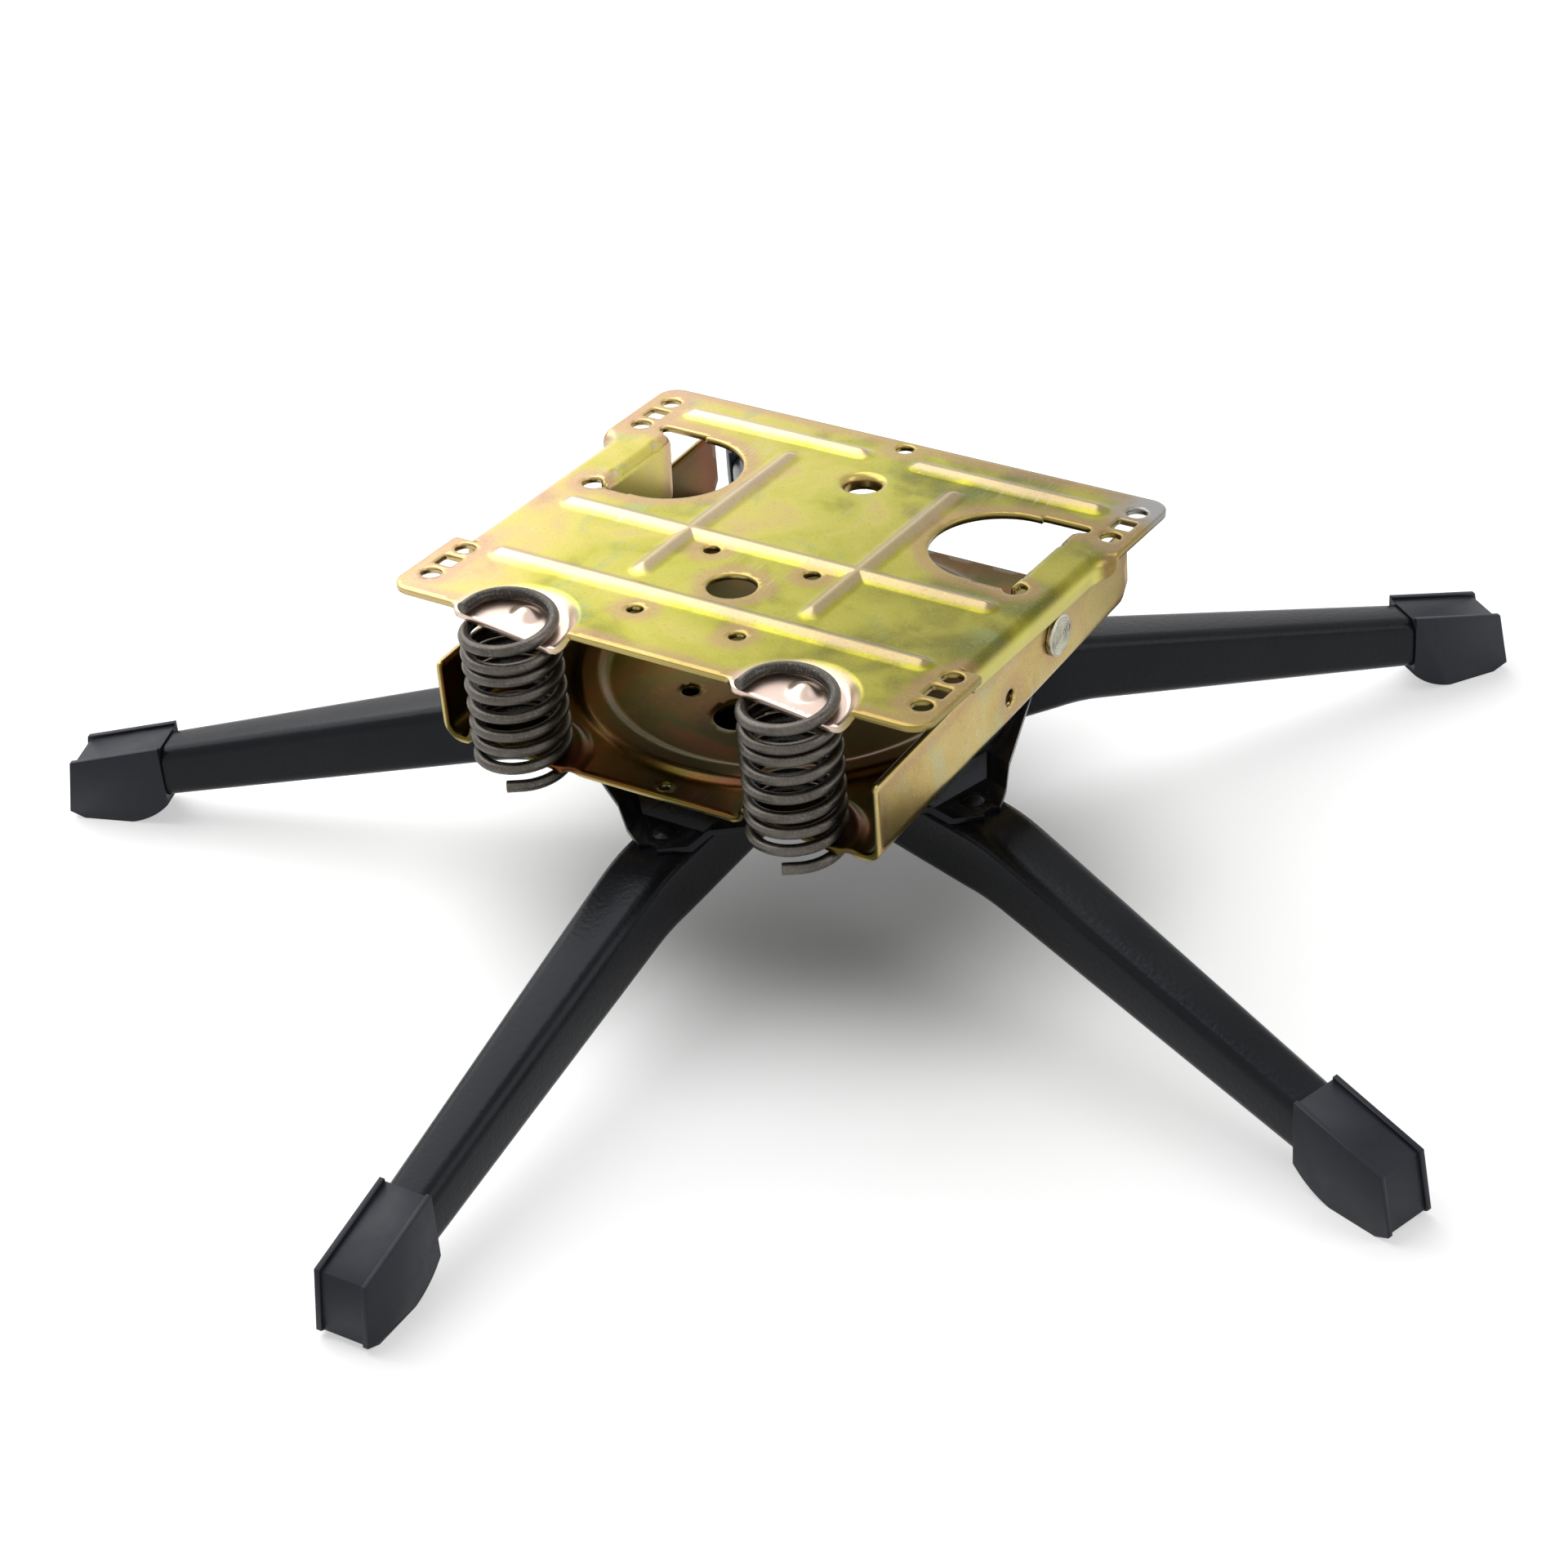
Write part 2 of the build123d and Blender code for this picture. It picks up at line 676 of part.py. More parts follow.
def housing():
    """The channel that carries the seat plate, with its race bead and spring pockets."""
    half = housing_half_width
    outer = block(-half, half, housing_front, housing_back, housing_floor_z, housing_wall_top_z)
    outer = fillet(outer.edges().filter_by(Axis.Y).group_by(Axis.Z)[0], housing_bend)
    inner = block(
        -housing_inner,
        housing_inner,
        housing_front - overrun,
        housing_back + overrun,
        housing_floor_top,
        housing_wall_top_z + overrun,
    )
    inner = fillet(inner.edges().filter_by(Axis.Y).group_by(Axis.Z)[0], housing_bend - sheet)
    channel = outer - inner
    crown_in = race_radius - bead_crown_half_width
    crown_out = race_radius + bead_crown_half_width
    foot_in = race_radius - bead_half_width
    foot_out = race_radius + bead_half_width
    crown_z = housing_floor_top + bead_rise
    track = ring(((foot_in, housing_floor_top), (crown_in, crown_z), (crown_out, crown_z), (foot_out, housing_floor_top)))
    channel += track
    channel -= Pos(0, 0, -sheet) * track
    for x in (-spring_x, spring_x):
        channel = with_floor_pocket(channel, x)
    low = housing_floor_z - overrun
    high = housing_floor_top + overrun
    channel -= rod(0, 0, low, high, pin_diameter + 2 * bush_wall)
    channel -= rod(0, floor_hole_y, low, high, floor_hole_diameter)
    channel -= rod(0, edge_hole_y, low, high, edge_hole_diameter)
    for side in (-1, 1):
        channel -= rod(side * small_floor_hole_x, small_floor_hole_y, low, high, small_floor_hole_diameter)
    channel -= cross_rod(-half - overrun, half + overrun, side_hole_y, side_hole_z, side_hole_diameter)
    wall_hole = rivet_diameter + 2 * rivet_wall_fit
    channel -= cross_rod(-half - overrun, half + overrun, pivot_y, pivot_z, wall_hole)
    for side in (-1, 1):
        x0, x1 = sorted((side * (housing_inner - housing_bend), side * (half + overrun)))
        corner = Pos(0, housing_back, housing_floor_z) * Rot(X=45) * block(
            x0, x1, -housing_corner_cut, housing_corner_cut, -housing_corner_cut, housing_corner_cut
        )
        channel -= corner
    return channel


def right_rivet():
    """Pivot rivet: a broad head outside the wall and a formed end inside the ear."""
    tail_outer = ear_inner - side_play - pivot_washer_height - side_play
    tail_inner = tail_outer - rivet_tail_height
    head = cross_rod(housing_half_width, housing_half_width + rivet_head_height, pivot_y, pivot_z, rivet_head_diameter)
    head = chamfer(head.edges().group_by(Axis.X)[-1], rivet_head_height / 4)
    shank = cross_rod(tail_inner, housing_half_width + rivet_head_height / 2, pivot_y, pivot_z, rivet_diameter)
    return head + shank + cross_rod(tail_inner, tail_outer, pivot_y, pivot_z, rivet_tail_diameter)


def right_washer():
    """Steel washer between the ear and the rivet's formed end."""
    outer = ear_inner - side_play
    inner = outer - pivot_washer_height
    bore = rivet_diameter + 2 * rivet_running_fit
    washer = cross_rod(inner, outer, pivot_y, pivot_z, pivot_washer_diameter)
    return washer - cross_rod(inner - overrun, outer + overrun, pivot_y, pivot_z, bore)


def right_bush():
    """Plastic bush in the ear, with a thin flange against the housing wall."""
    bore = rivet_diameter + 2 * rivet_running_fit
    flange_face = ear_outer + pivot_bush_flange
    bush = cross_rod(ear_inner, flange_face, pivot_y, pivot_z, bore + 2 * pivot_bush_wall)
    bush += cross_rod(ear_outer, flange_face, pivot_y, pivot_z, pivot_bush_flange_diameter)
    return bush - cross_rod(ear_inner - overrun, flange_face + overrun, pivot_y, pivot_z, bore)


def spring_top_z():
    """Height of the wire's centre where the hooked top turn starts, at the left."""
    pocket_z = plate_height_at(spring_y) - seat_pocket_drop
    rest = (wire / 2 + seat_gap) / cos(radians(hook_angle))
    return pocket_z + rest + hook_pitch / 4


def spring_low_z():
    """Height of the wire's centre where it starts its hooked turn over the floor tongue."""
    pocket_z = housing_floor_top + floor_pocket_rise
    rest = (wire / 2 + seat_gap) / cos(radians(hook_angle))
    return pocket_z + rest + hook_pitch / 4


def spring_height_at(turn):
    """Height of the wire's centre after so many turns from the top end."""
    top = spring_top_z()
    low = spring_low_z()
    ends = (
        hook_turns,
        hook_turns + upper_close_turns,
        hook_turns + upper_close_turns + open_turns,
        hook_turns + close_turns + open_turns,
    )
    open_fall = top - low - hook_turns * hook_pitch - close_turns * close_pitch
    open_pitch = open_fall / open_turns
    stages = (
        (0, ends[0], hook_pitch),
        (ends[0], ends[1], close_pitch),
        (ends[1], ends[2], open_pitch),
        (ends[2], ends[3], close_pitch),
        (ends[3], ends[3] + hook_turns, hook_pitch),
        (ends[3] + hook_turns, ends[3] + 2 * hook_turns, close_pitch),
    )
    fall = 0
    for start, end, pitch in stages:
        fall += pitch * max(0, min(turn, end) - start)
    return top - fall


def spring_total_turns():
    return 2 * hook_turns + close_turns + open_turns + tail_turns


def wire_point(turn):
    """The wire's centre, wound clockwise as it goes down from the left."""
    a = pi - 2 * pi * turn
    return Vector(coil_radius * cos(a), coil_radius * sin(a), spring_height_at(turn))


def wire_heading(turn, step):
    """Direction of the wire, from the heights half a step before and after."""
    a = pi - 2 * pi * turn
    climb = (spring_height_at(turn + step / 2) - spring_height_at(turn - step / 2)) / step
    run = 2 * pi * coil_radius
    return Vector(run * sin(a), -run * cos(a), climb).normalized()


def biarc(start, start_heading, end, end_heading):
    """Two arcs that join two points with the given directions."""
    gap = end - start
    sum_heading = start_heading + end_heading
    spread_part = 2 * (1 - start_heading.dot(end_heading))
    along = gap.dot(sum_heading)
    handle = (-along + sqrt(along**2 + spread_part * gap.dot(gap))) / spread_part
    middle = (start + start_heading * handle + end - end_heading * handle) * 0.5
    middle_heading = (end - end_heading * handle) - (start + start_heading * handle)
    return [
        TangentArc(start, middle, tangent=start_heading),
        TangentArc(middle, end, tangent=middle_heading),
    ]


def spring():
    """One spring about its own axis: a single unbroken wire."""
    quarters = round(4 * spring_total_turns())
    step = spring_total_turns() / quarters
    turns = [step * i for i in range(quarters + 1)]
    points = [wire_point(t) for t in turns]
    headings = [wire_heading(t, step) for t in turns]
    edges = [Line(points[0] - headings[0] * end_run, points[0])]
    for i in range(quarters):
        edges += biarc(points[i], headings[i], points[i + 1], headings[i + 1])
    edges.append(Line(points[-1], points[-1] + headings[-1] * end_run))
    path = Wire(edges)
    section = Plane(origin=points[0] - headings[0] * end_run, z_dir=headings[0]) * Circle(wire / 2)
    return sweep(section, path=path)


def least_coil_gap():
    """Least space between one turn of wire and the next, measured on points."""
    per_turn = 72
    count = round(spring_total_turns() * per_turn)
    line = [wire_point(i / per_turn) for i in range(count + 1)]
    near = per_turn // 2
    return min(
        (line[i] - line[j]).length for i in range(len(line)) for j in range(i + near, min(len(line), i + 3 * near))
    ) - wire


def side_pair(name, solid):
    """Right and left nodes from a right-hand solid."""
    return {name + "_right": solid, name + "_left": mirror(solid, about=Plane.YZ)}


leg_names = ("front", "front_right", "rear_right", "rear_left", "front_left")
nodes = {}
one_leg = leg()
one_cap = foot_cap()
for i, leg_name in enumerate(leg_names):
    turn_to = Rot(Z=leg_first_angle + i * leg_step)
    nodes["leg_" + leg_name] = turn_to * one_leg
    nodes["foot_cap_" + leg_name] = turn_to * one_cap
nodes["hub_plate"] = hub_plate()
nodes["hub_rivets"] = hub_rivets()
nodes["king_pin"] = king_pin()
nodes["king_washer"] = king_washer()
nodes["king_bush"] = king_bush()
nodes["race_balls"] = race_balls()
nodes["ball_cage"] = ball_cage()
nodes["tilt_housing"] = housing()
nodes["seat_plate"] = seat_plate()
nodes.update(side_pair("pivot_rivet", right_rivet()))
nodes.update(side_pair("pivot_washer", right_washer()))
nodes.update(side_pair("pivot_bush", right_bush()))
one_spring = spring()
nodes["tilt_spring_left"] = Pos(-spring_x, spring_y, 0) * one_spring
nodes["tilt_spring_right"] = Pos(spring_x, spring_y, 0) * one_spring

os.makedirs("parts", exist_ok=True)
for node_name, solid in nodes.items():
    export_step(solid, f"parts/{node_name}.step")
print(f"least gap between turns of the springs: {least_coil_gap():.2f} mm")
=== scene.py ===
import math

import bpy
import numpy as np
from mathutils import Matrix, Vector, kdtree
from mathutils.geometry import delaunay_2d_cdt


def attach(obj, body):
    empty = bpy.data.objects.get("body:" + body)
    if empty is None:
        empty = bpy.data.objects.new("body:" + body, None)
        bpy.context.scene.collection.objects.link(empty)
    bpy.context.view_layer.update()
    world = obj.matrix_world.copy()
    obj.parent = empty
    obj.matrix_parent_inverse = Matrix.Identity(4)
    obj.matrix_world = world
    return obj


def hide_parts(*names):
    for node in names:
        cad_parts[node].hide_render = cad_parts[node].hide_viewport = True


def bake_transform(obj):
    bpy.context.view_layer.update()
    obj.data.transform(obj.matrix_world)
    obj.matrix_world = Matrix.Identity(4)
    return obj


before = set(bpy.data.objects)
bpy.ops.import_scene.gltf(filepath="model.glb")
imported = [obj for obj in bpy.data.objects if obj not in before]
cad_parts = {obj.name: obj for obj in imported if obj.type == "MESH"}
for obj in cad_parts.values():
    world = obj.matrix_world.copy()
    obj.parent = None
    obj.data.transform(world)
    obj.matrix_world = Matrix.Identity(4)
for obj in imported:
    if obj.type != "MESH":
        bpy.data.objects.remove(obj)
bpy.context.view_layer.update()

# Office chair tilt mechanism: pressed and plated sheet over a swivel and a five-legged base.
# Sizes are in millimetres, as on the parts' drawings, and turn into metres when a mesh is made.
# Finishes work in metres, on each piece's own coordinates.
MM = 0.001
SHEET = 2.8
CUT_EDGE = 0.35

# Seat plate, as places and sizes on its flat blank before it is tilted
PLATE_TILT = math.radians(4)
PLATE_Z = 154.7
PLATE_HALF = 119.5
PLATE_FRONT, PLATE_TONGUE, PLATE_BACK = -102.5, -106.5, 100.0
FLANGE_CREASE, FLANGE_BEND, FLANGE_DEPTH = 109.0, 5.5, 10.0
FLANGE_START, FLANGE_TURN, FLANGE_END, FLANGE_ARC = -56.0, 40.0, 54.4, 15.1
FLANGE_BLANK = FLANGE_CREASE + FLANGE_BEND * math.pi / 2 + FLANGE_DEPTH - FLANGE_BEND
EAR_CREASE, EAR_BEND, EAR_ROUND, EAR_HALF, EAR_MIDDLE = 97.8, 4.6, 23.0, 24.0, 36.0
EAR_TIP = EAR_CREASE - EAR_BEND * math.pi / 2 - (EAR_ROUND - EAR_BEND)
DART_X, DART_APART, DART_WIDE, DART_LONG, DART_DEPTH = 94.6, 15, 3.2, 3.6, 1.5
OPENING_X, OPENING_ROUND, OPENING_FRONT, OPENING_REAR = 76.5, 29, 6.2, 66.8
COLLAR_PLACE, COLLAR_HOLE, COLLAR_BEND, COLLAR_DEPTH = 58.9, 7.5, 3.2, 6.8
COLLAR_BLANK = COLLAR_HOLE + COLLAR_BEND - COLLAR_BEND * math.pi / 2 - (COLLAR_DEPTH - COLLAR_BEND)
RIB_RISE, RIB_CROWN, RIB_FOOT, RIB_END = 2.3 / 0.93, -0.6, 6.2, 94.5
CROSS_RIBS, REAR_RIB, REAR_RIB_GAP = (-60, -10), 82, 14
LONG_RIB_X, LONG_RIB_FRONT, LONG_RIB_BACK = 38.5, -45, 65
BOLT_X, BOLT_HOLE, BOLT_HOLES_Y, SQUARE_HOLE_Y = 110, 4.2, (-86.5, -63.4, 63.4, 86.5), 75

# Springs, and the pockets and tongues that they hook over
SPRING_X, SPRING_Y, COIL, WIRE = 62.4, -102.4, 17.45, 4.8
HOOK_PITCH, COIL_PITCH = 8.9, 5.5
HOOK_SLOPE = HOOK_PITCH / (4 * COIL)
HOOK_TURNS, TOP_CLOSE_TURNS, LOW_CLOSE_TURNS, END_TURNS = 1.5, 1.25, 0.8, 0.18
WIRE_TURNS = 8.68
POCKET_FLOOR, POCKET_MOUTH = 22.3, 27.5
PLATE_POCKET_DEPTH, HOUSING_POCKET_HEIGHT = 3.4, 5.2
NUB_X, NUB_Y, NUB_HEIGHT = 2, 8.4, 3.2
TONGUE_ROOT, TONGUE_TIP = 25.5, 21.5

# Tilt housing
HOUSING_FLOOR, HOUSING_INNER, HOUSING_BEND = 99.4, 96.8, 5.2
HOUSING_FRONT, HOUSING_TONGUE, HOUSING_BACK, HOUSING_TOP = -104.1, -108.1, 97.4, 132.0
HOUSING_WALL = HOUSING_INNER - HOUSING_BEND + HOUSING_BEND * math.pi / 2
PIVOT_Y, PIVOT_Z = 35.4, 118.3
RACE_RADIUS, BEAD_HEIGHT, BEAD_CROWN, BEAD_FOOT = 83.0, 2.6, 3.4, 7.9

# Base
LEG_COUNT, LEG_FIRST = 5, -math.pi / 2
LEG_TOP, LEG_FALL, LEG_BEND_START, LEG_BEND = 78.0, 49 / 192, 110, 20
LEG_END = 312
RIVET_PLACE, RIVET_SEAT, RIVET_HALF, RIVET_HEIGHT = 102, 80.5, 5.0, 1.8


def smooth(x, low, high):
    """0 below low, 1 above high, an even S between them."""
    t = np.clip((x - low) / (high - low), 0, 1)
    return t * t * (3 - 2 * t)


# Outlines

def divided(points, step):
    """A closed run of points with no two further apart than step."""
    points = np.array(points, float)
    out = []
    for a, b in zip(points, np.roll(points, -1, 0)):
        count = max(1, math.ceil(np.linalg.norm(b - a) / step))
        out += [a + (b - a) * k / count for k in range(count)]
    return np.array(out)


def arc(x, y, radius, start, end, step=1.2):
    """Points along an arc, its angles in degrees."""
    count = max(3, math.ceil(abs(math.radians(end - start)) * radius / step) + 1)
    a = np.radians(np.linspace(start, end, count))
    return np.stack([x + radius * np.cos(a), y + radius * np.sin(a)], 1)


def rounded(corners, step=1.4):
    """A closed outline through corners given as x, y and the radius that rounds them."""
    out = []
    for i, (x, y, radius) in enumerate(corners):
        here = np.array((x, y), float)
        to_last = np.array(corners[i - 1][:2], float) - here
        to_next = np.array(corners[(i + 1) % len(corners)][:2], float) - here
        a, b = to_last / np.linalg.norm(to_last), to_next / np.linalg.norm(to_next)
        half = math.acos(np.clip(a @ b, -1, 1)) / 2
        if radius <= 0 or half > 1.55:
            out.append(here)
            continue
        centre = here + (a + b) / np.linalg.norm(a + b) * radius / math.sin(half)
        first = here + a * radius / math.tan(half) - centre
        last = here + b * radius / math.tan(half) - centre
        turn = math.pi - 2 * half
        for t in np.linspace(0, 1, max(3, math.ceil(radius * turn / step) + 1)):
            blend = math.sin((1 - t) * turn) * first + math.sin(t * turn) * last
            out.append(centre + blend / math.sin(turn))
    return divided(out, step)


def hole(x, y, radius, count=36):
    """A round hole, wound so that the sheet is on its left."""
    a = np.linspace(0, -2 * math.pi, count, endpoint=False)
    return np.stack([x + radius * np.cos(a), y + radius * np.sin(a)], 1)


def rings(x, y, radii, step):
    """Points on circles about one centre, for forms that are round."""
    return np.concatenate([hole(x, y, r, max(12, round(2 * math.pi * r / step))) for r in radii])


def lines(low, high, step, close=(), reach=6.2, fine=0.9):
    """Grid lines at an even step, closer together about each place in close."""
    spots = list(np.arange(low, high, step))
    for c in close:
        spots = [s for s in spots if abs(s - c) > reach]
        spots += list(np.arange(c - reach, c + reach + fine / 2, fine))
    return np.array(sorted(spots))


def inside(points, loops):
    """Which points lie in the sheet, by counting the edges to their right."""
    odd = np.zeros(len(points), bool)
    px, py = points[:, 0:1], points[:, 1:2]
    for loop in loops:
        ax, ay = loop[:, 0], loop[:, 1]
        bx, by = np.roll(ax, -1), np.roll(ay, -1)
        spans = (ay > py) != (by > py)
        rise = np.where(by == ay, 1e-9, by - ay)
        odd ^= ((spans & (px < ax + (py - ay) * (bx - ax) / rise)).sum(1) % 2).astype(bool)
    return odd


def inward(loop):
    """Unit steps from each outline point into the sheet, which lies on its left."""
    run = np.roll(loop, -1, 0) - loop
    run /= np.linalg.norm(run, axis=1, keepdims=True)
    left = np.stack([-run[:, 1], run[:, 0]], 1)
    both = left + np.roll(left, 1, 0)
    return both / np.maximum(np.linalg.norm(both, axis=1, keepdims=True), 0.3)


# Meshes

def mesh_object(name, verts, faces, **point_values):
    """A mesh object from points in millimetres, with a number for each point where given."""
    mesh = bpy.data.meshes.new(name)
    mesh.from_pydata((np.asarray(verts, float) * MM).tolist(), [], faces)
    mesh.validate()
    mesh.shade_smooth()
    for key, values in point_values.items():
        attribute = mesh.attributes.new(key, "FLOAT", "POINT")
        attribute.data.foreach_set("value", np.asarray(values, np.float32))
    made = bpy.data.objects.new(name, mesh)
    bpy.context.scene.collection.objects.link(made)
    return made


def pressed_sheet(name, loops, spots, base, rise):
    """Sheet metal cut to outlines in the flat, pressed by rise and bent to its place by base.

    Each point keeps how near it is to a cut edge, closely in rim and widely in halo, and its press."""
    ridge = [loop + inward(loop) * CUT_EDGE for loop in loops]
    tree = kdtree.KDTree(sum(len(r) for r in ridge))
    for i, p in enumerate(np.concatenate(ridge)):
        tree.insert((p[0], p[1], 0), i)
    tree.balance()
    spots = spots[inside(spots, ridge)]
    clear_of_edges = 0.75
    spots = spots[np.array([tree.find((p[0], p[1], 0))[2] > clear_of_edges for p in spots])]
    flat = np.concatenate(ridge + [spots])
    edges, start, starts = [], 0, []
    for r in ridge:
        starts.append(start)
        edges += [(start + k, start + (k + 1) % len(r)) for k in range(len(r))]
        start += len(r)
    filled = delaunay_2d_cdt([Vector(p) for p in flat], edges, [], 0, 1e-4, True)
    points, faces, origins = filled[0], filled[2], filled[3]
    points = np.array(points, float)
    found = {source: i for i, sources in enumerate(origins) for source in sources}
    faces = np.array([f for f in faces if len(f) == 3])
    faces = faces[inside(points[faces].mean(1), ridge)]
    a, b, c = (points[faces[:, k]] for k in range(3))
    turned = (b[:, 0] - a[:, 0]) * (c[:, 1] - a[:, 1]) < (b[:, 1] - a[:, 1]) * (c[:, 0] - a[:, 0])
    faces[turned] = faces[turned][:, ::-1]

    def normals(shape, q):
        h = 0.04
        du = shape(q + (h, 0)) - shape(q - (h, 0))
        dv = shape(q + (0, h)) - shape(q - (0, h))
        n = np.cross(du, dv)
        return n / np.maximum(np.linalg.norm(n, axis=1, keepdims=True), 1e-12)

    def top(q):
        return base(q) + normals(base, q) * rise(q)[:, None]

    upper, up = top(points), normals(top, points)
    verts = [upper, upper - up * SHEET]
    gaps = np.array([tree.find((p[0], p[1], 0))[2] for p in points])
    rim_reach, halo_reach = 1.6, 7
    near, halo = [np.exp(-gaps / rim_reach)] * 2, [np.exp(-gaps / halo_reach)] * 2
    count = len(points)
    sides = []
    offset = 2 * count
    for loop, r, s in zip(loops, ridge, starts):
        rim, out = top(loop), normals(top, loop)
        verts += [rim - out * CUT_EDGE, rim - out * (SHEET - CUT_EDGE)]
        near += [np.full(len(loop), 1.2)] * 2
        halo += [np.ones(len(loop))] * 2
        n = len(loop)
        row = [
            [found[s + k] for k in range(n)],
            list(range(offset, offset + n)),
            list(range(offset + n, offset + 2 * n)),
            [found[s + k] + count for k in range(n)],
        ]
        offset += 2 * n
        for first, second in zip(row, row[1:]):
            sides += [(first[k], second[k], second[(k + 1) % n], first[(k + 1) % n]) for k in range(n)]
    pressed = rise(points)
    pressed = np.concatenate([pressed, pressed, np.zeros(offset - 2 * count)])
    all_faces = faces.tolist() + (faces[:, ::-1] + count).tolist() + sides
    values = {"rim": np.concatenate(near), "halo": np.concatenate(halo), "press": pressed}
    return mesh_object(name, np.concatenate(verts), all_faces, **values)


# Seat plate

def tilted(x, y, z):
    """From the plate's own flat place to where it rests."""
    c, s = math.cos(PLATE_TILT), math.sin(PLATE_TILT)
    return np.stack([x, y * c + z * s, z * c - y * s + PLATE_Z], 1)


def bent(distance, radius):
    """How far across and down a point goes once it is distance past a crease."""
    past = np.maximum(distance, 0)
    turn = np.minimum(past / radius, math.pi / 2)
    return radius * np.sin(turn), radius * (1 - np.cos(turn)) + np.maximum(past - radius * math.pi / 2, 0)


def in_ear(u, v):
    """Which points of the flat blank belong to a pivot ear."""
    on_round = np.hypot(u - EAR_TIP, v - EAR_MIDDLE) < EAR_HALF + 0.3
    on_root = (u > EAR_TIP) & (np.abs(v - EAR_MIDDLE) < EAR_HALF + 0.5)
    return (u < EAR_CREASE) & (on_round | on_root)


def plate_base(q):
    """The blank with its flanges, ears and collar bent down, before anything is pressed up."""
    side, u, v = np.sign(q[:, 0]), np.abs(q[:, 0]), q[:, 1]
    x, y, z = u.copy(), v.copy(), np.zeros(len(u))
    flange = (u > 100) & (v > FLANGE_START - 0.5) & (v < 57)
    centre = FLANGE_CREASE + FLANGE_ARC
    spoke = np.maximum(np.hypot(u - centre, v - FLANGE_TURN), 1e-6)
    past_turn = v > FLANGE_TURN
    past = np.where(past_turn, FLANGE_ARC - spoke, u - FLANGE_CREASE)
    dx = np.where(past_turn, (centre - u) / spoke, 1)
    dy = np.where(past_turn, (FLANGE_TURN - v) / spoke, 0)
    past = np.where(flange, np.maximum(past, 0), 0)
    across, down = bent(past, FLANGE_BEND)
    x, y, z = x + dx * (across - past), y + dy * (across - past), z - down
    past = np.where(in_ear(u, v), EAR_CREASE - u, 0)
    across, down = bent(past, EAR_BEND)
    x, z = x + past - across, z - down
    reach = np.hypot(q[:, 0], v - COLLAR_PLACE)
    past = np.maximum(COLLAR_HOLE + COLLAR_BEND - reach, 0)
    across, down = bent(past, COLLAR_BEND)
    grow = (reach + past - across) / np.maximum(reach, 1e-6)
    in_collar = past > 0
    x = np.where(in_collar, u * grow, x)
    y = np.where(in_collar, COLLAR_PLACE + (v - COLLAR_PLACE) * grow, y)
    return tilted(x * np.where(side == 0, 1, side), y, np.where(in_collar, -down, z))


def rib(q, x0, y0, x1, y1):
    """Height of one rib with round ends between two end centres."""
    along = np.array((x1 - x0, y1 - y0), float)
    start = q - (x0, y0)
    share = np.clip(start @ along / (along @ along), 0, 1)
    gap = np.linalg.norm(start - share[:, None] * along, axis=1)
    return RIB_RISE * (1 - smooth(gap, RIB_CROWN, RIB_FOOT))


def plate_rise(q):
    """What is pressed up or down in the seat plate."""
    x, y = q[:, 0], q[:, 1]
    ribs = [rib(q, -RIB_END, rib_y, RIB_END, rib_y) for rib_y in CROSS_RIBS]
    ribs += [
        rib(q, -RIB_END, REAR_RIB, -REAR_RIB_GAP, REAR_RIB),
        rib(q, REAR_RIB_GAP, REAR_RIB, RIB_END, REAR_RIB),
    ]
    ribs += [rib(q, rib_x, LONG_RIB_FRONT, rib_x, LONG_RIB_BACK) for rib_x in (-LONG_RIB_X, LONG_RIB_X)]
    height = np.max(ribs, 0)
    for spring_x in (-SPRING_X, SPRING_X):
        dx, dy = x - spring_x, y - SPRING_Y
        floor = -PLATE_POCKET_DEPTH - HOOK_SLOPE * dx + dy * math.tan(PLATE_TILT)
        nub = NUB_HEIGHT * (1 - smooth(np.hypot(dx - NUB_X, dy - NUB_Y), 0.4, 7.2))
        height += np.minimum(floor, 0) * (1 - smooth(np.hypot(dx, dy), POCKET_FLOOR, POCKET_MOUTH)) + nub
    for dart in (-DART_APART, DART_APART):
        gap = np.hypot((np.abs(x) - DART_X) / DART_WIDE, (y - EAR_MIDDLE - dart) / DART_LONG)
        height -= DART_DEPTH * (1 - smooth(gap, 0, 1)) * in_ear(np.abs(x), y)
    return height


def ear_opening(side):
    """The D-shaped cut round one ear, with its relief hole and rear slot."""
    low, high = EAR_MIDDLE - EAR_HALF, EAR_MIDDLE + EAR_HALF
    relief_hole = arc(97, 8.5, 5, 207.4, 494)
    rear_slot = arc(97.7, 64, 2.8, -80, 90, 0.8)
    run = [
        arc(OPENING_X, EAR_MIDDLE, OPENING_ROUND, 85.1, 274.9),
        [(79, OPENING_FRONT), (91.5, OPENING_FRONT)],
        relief_hole,
        [(90, low)],
        arc(EAR_TIP, EAR_MIDDLE, EAR_HALF, 270, 90),
        [(96.6, high), (97.6, 61.2)],
        rear_slot,
        [(79, OPENING_REAR)],
    ]
    loop = divided(np.concatenate([np.array(r, float) for r in run]), 1.4)
    return loop[::-1] if side > 0 else loop * (-1, 1)


def tongue(front, tip, root_reach, root_round):
    """Corners of the tongue that one spring hooks over, from the middle outwards."""
    return [
        (SPRING_X - TONGUE_ROOT, front, 3),
        (SPRING_X - TONGUE_TIP, tip, 3.5),
        (SPRING_X + TONGUE_TIP, tip, 3.5),
        (SPRING_X + root_reach, front, root_round),
    ]


def both_halves(right):
    """A closed outline from the corners of its right half, front to back."""
    return rounded(right + [(-x, y, r) for x, y, r in reversed(right)])


